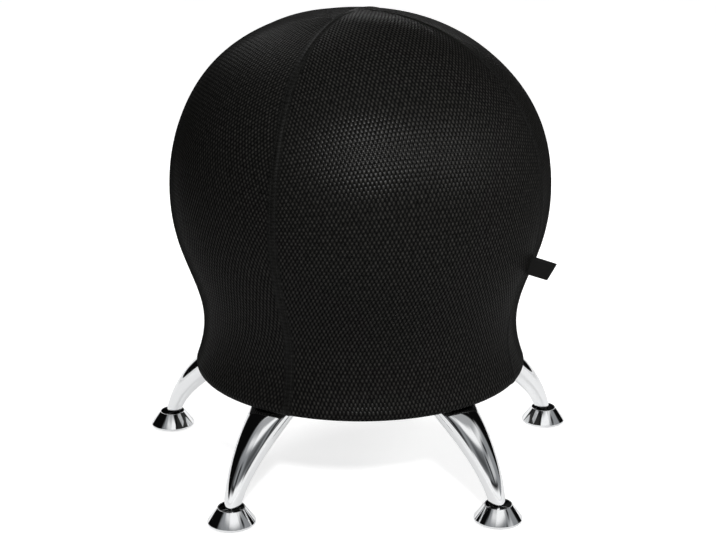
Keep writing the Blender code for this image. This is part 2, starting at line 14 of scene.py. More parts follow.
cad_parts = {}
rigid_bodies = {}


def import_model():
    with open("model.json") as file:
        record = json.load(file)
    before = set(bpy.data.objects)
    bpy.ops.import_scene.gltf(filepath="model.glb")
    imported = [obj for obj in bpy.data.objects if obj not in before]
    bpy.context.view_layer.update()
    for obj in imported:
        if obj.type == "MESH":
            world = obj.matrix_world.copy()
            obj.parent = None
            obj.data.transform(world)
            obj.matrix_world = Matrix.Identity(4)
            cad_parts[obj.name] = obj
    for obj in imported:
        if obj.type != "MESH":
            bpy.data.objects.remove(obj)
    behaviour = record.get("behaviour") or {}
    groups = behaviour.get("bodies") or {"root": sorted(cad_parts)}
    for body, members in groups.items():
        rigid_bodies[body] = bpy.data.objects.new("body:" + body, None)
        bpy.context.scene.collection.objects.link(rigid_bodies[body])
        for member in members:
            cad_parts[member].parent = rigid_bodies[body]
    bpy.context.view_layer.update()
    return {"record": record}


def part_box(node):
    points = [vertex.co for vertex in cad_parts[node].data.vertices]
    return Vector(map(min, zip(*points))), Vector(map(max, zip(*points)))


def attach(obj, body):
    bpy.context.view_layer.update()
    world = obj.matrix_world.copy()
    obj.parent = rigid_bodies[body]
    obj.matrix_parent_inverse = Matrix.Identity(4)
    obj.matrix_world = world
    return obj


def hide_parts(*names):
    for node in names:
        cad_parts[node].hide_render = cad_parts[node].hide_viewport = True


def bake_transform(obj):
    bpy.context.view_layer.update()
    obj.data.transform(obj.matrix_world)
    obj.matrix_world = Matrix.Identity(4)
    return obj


bl_info = {
    "name": "Balance stool",
    "version": (1, 0, 0),
    "blender": (4, 5, 0),
    "location": "3D View > Sidebar > Stool",
    "description": "Mesh-covered ball on a round base with chrome horn legs",
    "category": "Object",
}

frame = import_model()

BALL_LOW, BALL_HIGH = (Vector(corner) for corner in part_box("ball"))
BOARD_LOW, BOARD_HIGH = (Vector(corner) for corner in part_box("base_board"))
AXIS = Vector(((BALL_LOW.x + BALL_HIGH.x) / 2, (BALL_LOW.y + BALL_HIGH.y) / 2, 0))
AT_AXIS = Matrix.Translation(AXIS)
AIR = 0.0003            # gap between neighbouring pieces
SEAM_AIR = 0.00005      # gap on each side of a seam, drawn tight by its stitches
FULL_TURN = 2 * math.pi
CORNER_PULL = 0.55      # draws a fillet's curve close to a round one
SHARP_DEG = 50          # edges sharper than this stay crisp
WELD_APART = 1e-5       # corners of a carried-over solid that are one
TINY = 1e-6

# The lamps face this place in the middle of the seat
SEAT_MIDDLE = Vector((AXIS.x, AXIS.y, 0.36))

STITCH_LINE = 0.72      # place of a stitch row on the seam allowance, counted from the seam
# Points of a stitch: share of its length, and rise in thread radii
SEAM_STITCH = ((0.0, -0.8), (0.22, 0.5), (0.5, 0.7), (0.78, 0.5), (1.0, -0.8))
TAB_STITCH = ((0.0, -0.8), (0.25, 0.5), (0.75, 0.5), (1.0, -0.8))
TAB_MARGIN = 0.0022     # tab's edge to its stitch rows
TAB_ROW_END = 0.003     # tab's root and tip to the ends of its stitch rows
TAB_ROOT_ROW = 0.0025   # tab's root to the stitch row across it
WHIP_TURNS = 236        # whip stitches round the hem
WHIP_LEAN = 0.0022      # turn of a whip stitch from one of its points to the next
HORN_STEPS = 60         # along a horn
BEAD_STEPS = 150        # along a weld
# Faces round what is turned
BALL_SIDES = 96
CORD_SIDES = 240
BELL_SIDES = 112
PAD_SIDES = 80
PIN_SIDES = 48
PLATE_EASE = 0.0006     # width of the eased edges
NUT_EASE = 0.0002

WALL_DISTANCE = 3.2     # from the stool to the walls of the studio
FLOOR_RADIUS = 14
SENSOR_MM = 36
CHROME_NAMES = ("horn_", "bell_")
CLOTH_NAMES = ("mesh_gore", "seam_stitching", "tape_tab", "tab_stitching")


# Settings

def linear(code):
    """Linear colour of an sRGB hex code."""
    parts = [int(code[start:start + 2], 16) / 255 for start in (1, 3, 5)]
    light = [part / 12.92 if part <= 0.04045 else ((part + 0.055) / 1.055) ** 2.4 for part in parts]
    return (*light, 1.0)


def length(name, description, default):
    return FloatProperty(name=name, description=description, default=default, precision=5,
                         unit="LENGTH")


def angle(name, description, degrees):
    return FloatProperty(name=name, description=description, default=math.radians(degrees),
                         subtype="ANGLE")


def number(name, description, default):
    return FloatProperty(name=name, description=description, default=default)


def portion(name, description, default):
    return FloatProperty(name=name, description=description, default=default, min=0.0, max=1.0,
                         subtype="FACTOR")


def watts(name, description, default):
    return FloatProperty(name=name, description=description, default=default, min=0.0, unit="POWER")


def count(name, description, default):
    return IntProperty(name=name, description=description, default=default, min=1)


def colour(name, description, code):
    return FloatVectorProperty(name=name, description=description, default=linear(code), size=4,
                               subtype="COLOR", min=0.0, max=1.0)


class StoolCover(PropertyGroup):
    """Ball and the mesh cover that is stretched over it."""
    ball_radius: length("Ball radius", "Radius of the ball at its equator", 0.2382)
    belly: length("Belly", "Depth of the ball below its equator", 0.2214)
    patch: length("Patch radius", "Flat patch on which the ball rests", 0.070)
    ball_wall: length("Ball wall", "Thickness of the ball's skin", 0.0018)
    crown_power: number("Crown power", "Squareness of the ball's upper half; 2 is an ellipse", 2.15)
    board_radius: length("Board radius", "Radius of the base board", 0.2111)
    fabric: length("Fabric", "Thickness of the spacer mesh", 0.003)
    neck_drop: length("Neck drop", "Depth below the equator at which the cover leaves the ball", 0.071)
    neck_ball_pull: length("Neck pull at the ball", "How long the cover keeps the ball's slope", 0.0547)
    neck_rim_pull: length("Neck pull at the rim", "How long the cover keeps the rim's slope", 0.0708)
    neck_rim_lean: angle("Neck lean at the rim", "Where on the board's edge the cover meets it", 20.3)
    hem_reach: length("Hem reach", "Flat of the cover under the board", 0.011)
    crown_lean: length("Crown lean", "How far the blown crown leans to the left", 0.0050)
    lean_height: length("Lean height", "Height at which the crown leans most", 0.545)
    lean_reach: length("Lean reach", "How far above and below the lean is felt", 0.065)
    gores: count("Gores", "Panels that the cover is sewn from", 4)
    first_seam: angle("First seam", "Direction of the seam that holds the tab, from +X to +Y", -26)
    stretch: number("Stretch", "Stretched length over cut length of the fabric", 1.05)
    hole_across: length("Holes across", "Spacing of the mesh holes in a row", 0.0050)
    hole_along: length("Holes along", "Spacing of two rows that lie alike", 0.0098)
    row_bow: number("Row bow", "Slope of the mesh rows down to the seams, at the crown", 0.85)
    bow_drop: length("Bow drop", "Depth below the equator at which the rows run level", 0.05)
    yarn: colour("Yarn", "Face yarn between the holes", "#161615")
    # Knot colour is a painted highlight: the same yarn as the rest, painted lighter where the knots stand up
    # into the light
    knot: colour("Knot", "Raised yarn where the ribs cross", "#2A2927")
    hole: colour("Hole", "Shade inside the mesh holes", "#070707")


class StoolTrim(PropertyGroup):
    """Seams, thread, tab, hem cord and valve plug."""
    seam_width: length("Seam width", "Seam allowance sewn down on each side of a seam", 0.0042)
    seam_rise: length("Seam rise", "How far the seam allowance lifts the fabric", 0.0008)
    stitch: length("Stitch", "Length of one stitch", 0.0030)
    stitch_gap: length("Stitch gap", "Fabric seen between two stitches", 0.0010)
    thread: length("Thread radius", "Radius of the sewing thread", 0.00022)
    thread_colour: colour("Thread", "Sewing thread", "#1A1A19")
    tab_drop: length("Tab drop", "Height of the tab's middle below the equator", 0.0770)
    tab_length: length("Tab length", "How far the tab stands out", 0.0294)
    tab_height: length("Tab height", "Width of the tape", 0.0246)
    tab_rise: angle("Tab rise", "Tab's edges, up from square to the cover", 8.9)
    tab_slant: angle("Tab slant", "Tab's folded end, leaning out at its top", 8.3)
    tab_thickness: length("Tab thickness", "Both plies of the tab with the air between", 0.0024)
    tab_ply: length("Tab ply", "Thickness of the tape", 0.0009)
    tape_colour: colour("Tape", "Face of the tab's tape", "#0E0E0D")
    selvedge_colour: colour("Selvedge", "Edges of the tab's tape", "#0D0D0C")
    cord: length("Cord radius", "Radius of the hem's elastic cord", 0.0015)
    cord_colour: colour("Cord", "Braided cover of the elastic", "#1A1A19")
    valve_drop: angle("Valve", "Place of the valve below the ball's equator", 44)
    valve_radius: length("Valve radius", "Radius of the valve's hole", 0.005)
    plug_head: length("Plug head", "Radius of the plug's head", 0.009)
    plug_cap: length("Plug cap", "Thickness of the plug's head", 0.002)
    plug_stem: length("Plug stem", "Length of the plug's stem", 0.012)
    vinyl_colour: colour("Vinyl", "Skin of the ball", "#5A5B5E")
    plug_colour: colour("Plug", "Moulded plug", "#CBCAC4")
    paint_colour: colour("Paint", "Painted board", "#1B1B1A")


class StoolLegs(PropertyGroup):
    """Horn legs, their plates and bolts."""
    inset: length("Inset", "How far a leg's shoulder lies inside the board's edge", 0.0020)
    mouth_length: length("Mouth length", "Length of the horn's mouth", 0.0598)
    mouth_width: length("Mouth width", "Width of the horn's mouth", 0.0622)
    end_radius: length("End radius", "Radius of the horn's lower end", 0.0098)
    end_round: length("End rounding", "Rounding of the horn's lower end", 0.0014)
    lean: angle("Lean", "Lean of the lower end from the vertical", 11.5)
    shoulder_pull: length("Shoulder pull", "How long the outer edge runs level", 0.0101)
    shin_pull: length("Shin pull", "How long the outer edge keeps its lean", 0.0573)
    heel_pull: length("Heel pull", "How long the inner edge keeps its fall", 0.0579)
    heel_fall: angle("Heel fall", "Fall of the inner edge at the mouth", 38.1)
    calf_pull: length("Calf pull", "How long the inner edge keeps its lean", 0.0409)
    wall: length("Wall", "Wall of the horn", 0.0025)
    hollow: portion("Hollow share", "Share of the horn that is hollow", 0.55)
    plate: length("Plate", "Thickness of the mounting plate", 0.004)
    weld: length("Weld bead", "Radius of the weld under the plate", 0.0014)
    bolt: length("Bolt radius", "Radius of the bolt's shank", 0.003)
    bolt_head: length("Bolt head", "Radius of the bolt's head", 0.0056)
    bolt_head_height: length("Bolt head height", "Height of the bolt's head", 0.0034)
    bolt_socket: length("Bolt socket", "Half the width across the socket's flats", 0.0020)
    chrome_colour: colour("Chrome", "Bright chrome plating", "#F1F2F3")
    zinc_colour: colour("Zinc", "Barrel-plated fasteners", "#B9BABB")


class StoolFeet(PropertyGroup):
    """Bells, pads and ball studs."""
    radius: length("Foot radius", "Radius of the bell's lip", 0.0294)
    height: length("Foot height", "Height of the bell", 0.0205)
    top: length("Bell top", "Radius of the bell's open top", 0.01684)
    wall: length("Bell wall", "Thickness of the bell", 0.0015)
    lip: length("Lip height", "Height of the bell's upright lip", 0.0034)
    lift: length("Lift", "Height of the lip above the floor", 0.0008)
    pivot: length("Pivot", "Height of the ball stud's centre", 0.0095)
    stud_ball: length("Stud ball", "Radius of the stud's ball", 0.005)
    stud_neck: length("Stud neck", "Radius of the stud's neck", 0.0030)
    stud_thread: length("Stud thread", "Radius of the stud's thread", 0.004)
    stud_lift: length("Stud lift", "Ball's centre to the leg's end", 0.0085)
    stud_depth: length("Stud depth", "Length of the thread in the leg", 0.022)
    socket_hold: length("Socket hold", "Height of the socket's mouth above the ball's centre", 0.0028)
    socket_wall: length("Socket wall", "Wall of the socket's boss", 0.0038)
    pad: length("Pad thickness", "Thickness of the nylon pad", 0.0031)
    nylon_colour: colour("Nylon", "Moulded pad", "#262625")


class StoolStage(PropertyGroup):
    """Floor, light and camera."""
    white: colour("White", "Backdrop, and what is seen of the floor", "#FFFFFF")
    floor_shade: colour("Floor", "Pale floor, as the lamps light it", "#BABABA")
    wall_shade: colour("Wall", "Grey wall in front, seen only in the chrome", "#8C8E90")
    booth_shade: colour("Booth", "Dark place behind the camera, seen only in the chrome", "#4C4D4E")
    dark_shade: colour("Dark", "Lamp stands and the foot of the wall, seen only in the chrome", "#0F0F0F")
    panel_shade: colour("Panel", "Pale panel on the right, seen only in the chrome", "#C4C5C6")
    ceiling_shade: colour("Ceiling", "Ceiling in front, seen only in the chrome", "#A5A6A7")
    flag_shade: colour("Flag", "Dark curtains at the sides, seen only in the chrome", "#0A0A0A")
    key_power: watts("Key power", "Front lamp", 29.0)
    side_power: watts("Side power", "Lamp on the right", 9.0)
    rim_power: watts("Rim power", "Lamp behind on the left", 4.0)
    back_power: watts("Back power", "Low lamp behind", 10.0)
    floor_power: watts("Floor power", "Lamp behind that leaves mesh and chrome unlit", 22.0)
    top_power: watts("Top power", "Overhead lamp", 5.0)
    sky: portion("Sky", "Light of the white room on the object", 0.06)
    lens: FloatProperty(name="Lens", description="Focal length", default=73.77, unit="CAMERA")
    camera_place: FloatVectorProperty(name="Camera place", description="Where the camera stands", size=3,
                                      default=(-0.0499, -1.8453, 0.8023), subtype="TRANSLATION",
                                      unit="LENGTH")
    camera_tilt: angle("Camera tilt", "How far the camera looks down", 16.94)
    camera_turn: angle("Camera turn", "How far the camera looks to the right", 1.48)


class StoolSettings(PropertyGroup):
    """All settings of the stool."""
    cover: PointerProperty(type=StoolCover)
    trim: PointerProperty(type=StoolTrim)
    legs: PointerProperty(type=StoolLegs)
    feet: PointerProperty(type=StoolFeet)
    stage: PointerProperty(type=StoolStage)


# Shapes

def shares(steps):
    """Even shares from 0 to 1, both ends included."""
    return [step / steps for step in range(steps + 1)]


def turns(steps):
    """Even turns round a circle."""
    return [FULL_TURN * step / steps for step in range(steps)]


def smooth(low, high, value):
    """Soft step from 0 at the low value to 1 at the high one."""
    share = min(max((value - low) / (high - low), 0.0), 1.0)
    return share * share * (3 - 2 * share)


def arc(centre, radius, start_deg, end_deg, steps):
    """Round stretch of (radius, height) points; 0 points outward and 90 up."""
    points = []
    for share in shares(steps):
        turn = math.radians(start_deg + (end_deg - start_deg) * share)
        points.append(centre + Vector((math.cos(turn), math.sin(turn))) * radius)
    return points


def rounded(corners, steps=5):
    """Outline through (radius, height, fillet) corners, each rounded by its fillet."""
    outline = []
    for index, (radius, height, fillet) in enumerate(corners):
        corner = Vector((radius, height))
        if fillet == 0:
            outline.append(corner)
            continue
        back = (Vector(corners[index - 1][:2]) - corner).normalized()
        onward = (Vector(corners[(index + 1) % len(corners)][:2]) - corner).normalized()
        reach = fillet / math.tan(back.angle(onward) / 2)
        start = corner + back * reach
        end = corner + onward * reach
        outline += interpolate_bezier(start, start.lerp(corner, CORNER_PULL),
                                      end.lerp(corner, CORNER_PULL), end, steps + 1)
    return outline


def offset_out(points, distance):
    """Outline moved outward; a point on the axis stays on it."""
    moved = []
    last = len(points) - 1
    for index, point in enumerate(points):
        along = (points[min(index + 1, last)] - points[max(index - 1, 0)]).normalized()
        if point.x < TINY:
            along = Vector((1, 0))
        moved.append(point + Vector((-along.y, along.x)) * distance)
    return moved


def skin(bm, rows, wrap):
    """Faces between neighbouring rows of vertices; a row of one vertex closes to a point."""
    for first, second in zip(rows, rows[1:]):
        size = max(len(first), len(second))
        for step in range(size if wrap else size - 1):
            after = (step + 1) % size
            corners = [first[step % len(first)], first[after % len(first)],
                       second[after % len(second)], second[step % len(second)]]
            corners = list(dict.fromkeys(corners))
            if len(corners) > 2:
                bm.faces.new(corners)


def ring(bm, radius, height, steps, hexagon=False):
    """Level ring of vertices, or one vertex on the axis; a hexagon's radius is to its flats."""
    if radius < TINY:
        return [bm.verts.new((0, 0, height))]
    vertices = []
    for turn in turns(steps):
        reach = radius
        if hexagon:
            reach = radius / math.cos(turn % (FULL_TURN / 6) - FULL_TURN / 12)
        vertices.append(bm.verts.new((reach * math.cos(turn), reach * math.sin(turn), height)))
    return vertices


def turned(outline, steps, closed=False):
    """Body turned from an outline; a closed outline makes a ring."""
    bm = bmesh.new()
    rows = [ring(bm, point.x, point.y, steps) for point in outline]
    if closed:
        rows.append(rows[0])
    skin(bm, rows, True)
    return bm


def add_thread(bm, places, lifts, radius, sides=5):
    """Thread through places with closed ends; each lift points out of the cloth."""
    last = len(places) - 1
    rows = [[bm.verts.new(places[0])]]
    for index, (place, lift) in enumerate(zip(places, lifts)):
        along = (places[min(index + 1, last)] - places[max(index - 1, 0)]).normalized()
        aside = along.cross(lift).normalized()
        up = aside.cross(along)
        rows.append([bm.verts.new(place + (aside * math.cos(turn) + up * math.sin(turn)) * radius)
                     for turn in turns(sides)])
    rows.append([bm.verts.new(places[-1])])
    skin(bm, rows, True)


def lay_on(bm, places, name):
    """Flat places of the vertices, in metres, kept as a UV map."""
    layer = bm.loops.layers.uv.new(name)
    for face in bm.faces:
        for loop in face.loops:
            loop[layer].uv = places[loop.vert]


def settle(bm, cover):
    """Crown of the blown ball and its cover, which lean a little to one side."""
    for vertex in bm.verts:
        above = (vertex.co.z - cover.lean_height) / cover.lean_reach
        vertex.co.x -= cover.crown_lean * math.exp(-above * above)


def make_piece(name, bm, material, place=AT_AXIS):
    """Object made from closed mesh work, with its finish."""
    bmesh.ops.transform(bm, matrix=place, verts=bm.verts)
    bmesh.ops.recalc_face_normals(bm, faces=bm.faces)
    mesh = bpy.data.meshes.new(name)
    bm.to_mesh(mesh)
    bm.free()
    mesh.shade_smooth()
    mesh.set_sharp_from_angle(angle=math.radians(SHARP_DEG))
    mesh.materials.append(material)
    piece = bpy.data.objects.new(name, mesh)
    bpy.context.scene.collection.objects.link(piece)
    return piece


def stretch_between(piece):
    """Piece's placement moved into its mesh, the same for all soft pieces."""
    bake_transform(piece)


class Walk:
    """Outline of (radius, height) points that is walked by length from its first point."""

    def __init__(self, points):
        self.points = points
        self.lengths = [0.0]
        for first, second in zip(points, points[1:]):
            self.lengths.append(self.lengths[-1] + (second - first).length)

    def out(self, index):
        """Direction out of the outline at one of its points."""
        if self.points[index].x < TINY:
            return Vector((0, 1))
        last = len(self.points) - 1
        along = self.points[min(index + 1, last)] - self.points[max(index - 1, 0)]
        return Vector((-along.y, along.x)).normalized()

    def at(self, walked):
        """Point and direction out of the outline, at a length."""
        index = bisect.bisect_right(self.lengths, walked) - 1
        index = min(max(index, 0), len(self.points) - 2)
        share = (walked - self.lengths[index]) / (self.lengths[index + 1] - self.lengths[index])
        point = self.points[index].lerp(self.points[index + 1], share)
        return point, self.out(index).lerp(self.out(index + 1), share).normalized()


# Ball and cover

def equator(cover):
    """Height at which the ball is widest."""
    return BALL_LOW.z + cover.belly


def belly_axis(cover):
    """Half height of the ellipse of which the belly and its flat patch are a part."""
    return cover.belly / math.sqrt(1 - (cover.patch / cover.ball_radius) ** 2)


def belly_point(cover, turn):
    """Point of the ball's outline at a turn below the equator."""
    return Vector((cover.ball_radius * math.cos(turn), equator(cover) - belly_axis(cover) * math.sin(turn)))


def ball_points(cover, lowest, steps):
    """Ball's outline from its top to a turn below the equator."""
    points = []
    rise = BALL_HIGH.z - equator(cover)
    for share in shares(52):
        turn = share * math.pi / 2
        radius = cover.ball_radius * math.sin(turn) ** (2 / cover.crown_power)
        up = rise * max(math.cos(turn), 0) ** (2 / cover.crown_power)
        points.append(Vector((radius, equator(cover) + up)))
    return points + [belly_point(cover, lowest * share) for share in shares(steps)[1:]]


def cover_walk(cover):
    """Outer face of the cover: over the ball, in at the neck, round the board's edge to the hem."""
    layer = AIR + cover.fabric
    leave_turn = math.asin(cover.neck_drop / belly_axis(cover))
    held = offset_out(ball_points(cover, leave_turn, 12), layer)
    leave_way = -Vector((cover.ball_radius * math.sin(leave_turn),
                         belly_axis(cover) * math.cos(leave_turn))).normalized()
    half_edge = (BOARD_HIGH.z - BOARD_LOW.z) / 2
    centre = Vector((cover.board_radius - half_edge, BOARD_LOW.z + half_edge))
    rim_radius = half_edge + layer
    lean = math.degrees(cover.neck_rim_lean)
    rim = arc(centre, rim_radius, lean, -90, 18)
    rim_way = Vector((-math.sin(cover.neck_rim_lean), math.cos(cover.neck_rim_lean)))
    neck = interpolate_bezier(held[-1], held[-1] + leave_way * cover.neck_ball_pull,
                              rim[0] + rim_way * cover.neck_rim_pull, rim[0], 36)
    hem_end = Vector((centre.x - cover.hem_reach, centre.y - rim_radius))
    hem = [rim[-1].lerp(hem_end, share) for share in shares(4)]
    return Walk(held + neck[1:-1] + rim + hem[1:])


def seam_lift(trim, from_seam):
    """Lift of the fabric over the seam allowance, highest on the seam itself."""
    return trim.seam_rise * (1 - smooth(0, trim.seam_width, from_seam))


def gore_columns(half, width):
    """Places across a gore, close together beside its seams, where they are shares of the seam's width."""
    scale = width * min(1, half / (4 * width))
    edge = [scale * share for share in (0, 0.12, 0.25, 0.4, 0.6, 0.75, 0.9, 1.05, 1.6)]
    inner = half - 2.4 * scale
    middle = [inner * (2 * share - 1) for share in shares(40)]
    return [-half + step for step in edge] + middle + [half - step for step in reversed(edge)]


def row_sag(cover, point, aside):
    """How far a mesh row sags beside the gore's middle line, which the flat cloth keeps straight."""
    level = equator(cover) - cover.bow_drop
    rise = max(point.y - level, 0) / (BALL_HIGH.z - level)
    return point.x * cover.row_bow * rise * (1 - math.cos(aside))


def sew_gore(cover, trim, index):
    """One gore as a closed shell of fabric, laid out flat in its UV map."""
    walk = cover_walk(cover)
    half_turn = math.pi / cover.gores
    middle = cover.first_seam + half_turn * (2 * index + 1)
    bm = bmesh.new()
    mesh_open = bm.verts.layers.float.new("mesh_open")
    places = {}
    faces = []
    for under in (0, cover.fabric):
        rows = []
        for step, (point, walked) in enumerate(zip(walk.points, walk.lengths)):
            out = walk.out(step)
            half = point.x * half_turn
            if half < TINY:
                tip = point - out * under
                row = [bm.verts.new((0, 0, tip.y))]
                places[row[0]] = (0, walked)
                rows.append(row)
                continue
            row = []
            for across in gore_columns(half, trim.seam_width):
                lift = -under if under else seam_lift(trim, half - abs(across))
                place = point + out * lift
                gap = min(SEAM_AIR, half / 4)
                aside = across / half * half_turn * (1 - gap / half)
                turn = middle + aside
                row.append(bm.verts.new((place.x * math.cos(turn), place.x * math.sin(turn), place.y)))
                row[-1][mesh_open] = smooth(trim.seam_width, 2 * trim.seam_width, half - abs(across))
                places[row[-1]] = (across, walked - row_sag(cover, point, aside))
            rows.append(row)
        skin(bm, rows, False)
        faces.append(rows)
    for edge in (0, -1):
        skin(bm, [[row[edge] for row in rows] for rows in faces], False)
    skin(bm, [faces[0][-1], faces[1][-1]], False)
    lay_on(bm, places, "cloth")
    widest = 2 * half_turn * max(point.x for point in walk.points)
    area = 0.0
    for first, second in zip(walk.points, walk.points[1:]):
        area += half_turn * (first.x + second.x) * (second - first).length
    cut = 1 / cover.stretch
    flat = (widest * cut, walk.lengths[-1] * cut)
    return bm, flat, area * cut * cut


def sew_seam(cover, trim, index):
    """Two rows of lockstitch, one on each side of a seam."""
    walk = cover_walk(cover)
    seam = cover.first_seam + FULL_TURN * index / cover.gores
    bm = bmesh.new()
    pitch = trim.stitch + trim.stitch_gap
    first = 4 * trim.seam_width
    stitches = int((walk.lengths[-1] - first) / pitch)
    for side in (-1, 1):
        aside = side * trim.seam_width * STITCH_LINE
        for stitch in range(stitches):
            places = []
            lifts = []
            for share, rise in SEAM_STITCH:
                point, out = walk.at(first + stitch * pitch + share * trim.stitch)
                place = point + out * (seam_lift(trim, abs(aside)) + rise * trim.thread)
                turn = seam + aside / point.x
                spin = Matrix.Rotation(turn, 3, "Z")
                places.append(spin @ Vector((place.x, 0, place.y)))
                lifts.append(spin @ Vector((out.x, 0, out.y)))
            add_thread(bm, places, lifts, trim.thread)
    return bm


class STOOL_OT_cover(Operator):
    """Sew the four gores of the mesh cover and stretch them over the ball and the board"""
    bl_idname = "stool.cover"
    bl_label = "Mesh cover"

    def execute(self, context):
        cover = context.scene.stool.cover
        trim = context.scene.stool.trim
        mesh_fabric = warp_knitted_spacer_mesh(cover)
        thread = shared(spun_polyester_thread, trim)
        for index in range(cover.gores):
            bm, flat, area = sew_gore(cover, trim, index)
            settle(bm, cover)
            gore = make_piece(f"mesh_gore_{index + 1}", bm, mesh_fabric)
            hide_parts(f"cover_gore_{index + 1}")
            stretch_between(gore)
            bm = sew_seam(cover, trim, index)
            settle(bm, cover)
            stitching = make_piece(f"seam_stitching_{index + 1}", bm, thread)
            stretch_between(stitching)
        return {"FINISHED"}


# Tab and hem

def tab_place(cover, trim):
    """Frame of the tab: +X along it, square to the cover on the first seam, and +Z up its height."""
    walk = cover_walk(cover)
    height = equator(cover) - trim.tab_drop
    for upper, lower in zip(walk.points, walk.points[1:]):
        if upper.y >= height >= lower.y:
            share = (upper.y - height) / (upper.y - lower.y)
            radius = upper.x + (lower.x - upper.x) * share
            droop = math.atan2(upper.x - lower.x, upper.y - lower.y)
            root = Matrix.Translation((radius, 0, height)) @ Matrix.Rotation(droop, 4, "Y")
            return AT_AXIS @ Matrix.Rotation(cover.first_seam, 4, "Z") @ root
    raise ValueError("the tab lies off the cover")


def askew(trim, along, aside, up):
    """Place on the tab, whose tape is sewn in askew."""
    lean = up * math.tan(trim.tab_slant) * along / trim.tab_length
    return Vector((along + lean, aside, up + along * math.tan(trim.tab_rise)))


def fold_tab(trim):
    """Tape folded at the tip, both ends caught in the seam."""
    bm = bmesh.new()
    places = {}
    centre = (trim.tab_thickness - trim.tab_ply) / 2
    straight = trim.tab_length - trim.tab_thickness / 2
    path = [(straight * share, 1.0, 0.0) for share in shares(16)]
    for share in shares(12)[1:]:
        turn = math.pi * share
        path.append((straight, math.cos(turn), math.sin(turn)))
    path += [(straight * (1 - share), -1.0, 0.0) for share in shares(16)[1:]]
    faces = []
    for side in (0.5, -0.5):
        rows = []
        walked = 0.0
        before = None
        for along, across, round_tip in path:
            middle = Vector((along + centre * round_tip, centre * across))
            walked += (middle - before).length if before else 0.0
            before = middle
            row = []
            for share in shares(16):
                height = trim.tab_height * (share - 0.5)
                # The tape thins to its selvedges
                thin = 1 - 0.45 * abs(2 * share - 1) ** 8
                reach = centre + side * trim.tab_ply * thin
                row.append(bm.verts.new(askew(trim, along + reach * round_tip, reach * across, height)))
                places[row[-1]] = (walked, height)
            rows.append(row)
        skin(bm, rows, False)
        faces.append(rows)
    for edge in (0, -1):
        skin(bm, [[row[edge] for row in rows] for rows in faces], False)
        skin(bm, [faces[0][edge], faces[1][edge]], False)
    lay_on(bm, places, "tape")
    return bm, walked


def sew_tab(trim):
    """Stitch rows along both edges of the tab and across its root, on both faces."""
    bm = bmesh.new()
    pitch = trim.stitch + trim.stitch_gap
    half = trim.tab_height / 2 - TAB_MARGIN
    tip = trim.tab_length - TAB_ROW_END
    runs = [(Vector((TAB_ROW_END, height)), Vector((tip, height))) for height in (-half, half)]
    runs.append((Vector((TAB_ROOT_ROW, -half)), Vector((TAB_ROOT_ROW, half))))
    for face in (-1, 1):
        lift = Vector((0, face, 0))
        for start, end in runs:
            stitches = int((end - start).length / pitch)
            way = (end - start).normalized()
            for stitch in range(stitches):
                places = []
                for share, rise in TAB_STITCH:
                    flat = start + way * (stitch * pitch + share * trim.stitch)
                    out = face * (trim.tab_thickness / 2 + rise * trim.thread)
                    places.append(askew(trim, flat.x, out, flat.y))
                add_thread(bm, places, [lift] * len(places), trim.thread)
    return bm


class STOOL_OT_tab(Operator):
    """Fold the tape tab and sew it into its seam"""
    bl_idname = "stool.tab"
    bl_label = "Side tab"

    def execute(self, context):
        cover = context.scene.stool.cover
        trim = context.scene.stool.trim
        place = tab_place(cover, trim)
        bm, tape_length = fold_tab(trim)
        tab = make_piece("tape_tab", bm, woven_polyester_tape(trim), place)
        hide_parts("side_tab")
        stretch_between(tab)
        thread = shared(spun_polyester_thread, trim)
        stitching = make_piece("tab_stitching", sew_tab(trim), thread, place)
        stretch_between(stitching)
        return {"FINISHED"}


class STOOL_OT_hem(Operator):
    """Lay the elastic cord along the hem under the board and whip it on"""
    bl_idname = "stool.hem"
    bl_label = "Hem cord"

    def execute(self, context):
        cover = context.scene.stool.cover
        trim = context.scene.stool.trim
        hem_end = cover_walk(cover).points[-1]
        centre = Vector((hem_end.x - AIR - trim.cord, BOARD_LOW.z - AIR - trim.cord))
        outline = arc(centre, trim.cord, 90, -270, 14)[:-1]
        bm = turned(outline, CORD_SIDES, closed=True)
        cord = make_piece("hem_elastic", bm, braided_elastic(trim))
        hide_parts("hem_cord")
        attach(cord, "base")
        # A whip stitch comes out of the hem 3 mm from its edge and goes over the cord
        path = [hem_end + Vector((0.0030, trim.thread * 0.8)),
                hem_end + Vector((0.0022, -trim.thread * 0.6)), hem_end + Vector((0, -trim.thread))]
        path += arc(centre, trim.cord + trim.thread * 0.6, -90, -200, 5)
        bm = bmesh.new()
        for turn in turns(WHIP_TURNS):
            places = []
            lifts = []
            for step, point in enumerate(path):
                spin = Matrix.Rotation(turn + step * WHIP_LEAN, 3, "Z")
                places.append(spin @ Vector((point.x, 0, point.y)))
                out = (point - centre).normalized()
                lifts.append(spin @ Vector((out.x, 0, out.y)))
            add_thread(bm, places, lifts, trim.thread)
        whipping = make_piece("hem_whipping", bm, shared(spun_polyester_thread, trim))
        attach(whipping, "base")
        return {"FINISHED"}


# Ball and valve

def valve_place(cover, trim):
    """Frame of the valve: +Z straight out of the ball."""
    joint = next(joint for joint in frame["record"]["behaviour"]["joints"] if joint["name"] == "valve_pull")
    out = Vector(joint["axis"])
    way = Vector((out.x, out.y)).normalized()
    point = belly_point(cover, trim.valve_drop)
    mouth = AXIS + Vector((way.x * point.x, way.y * point.x, point.y))
    return Matrix.Translation(mouth) @ out.to_track_quat("Z", "Y").to_matrix().to_4x4()


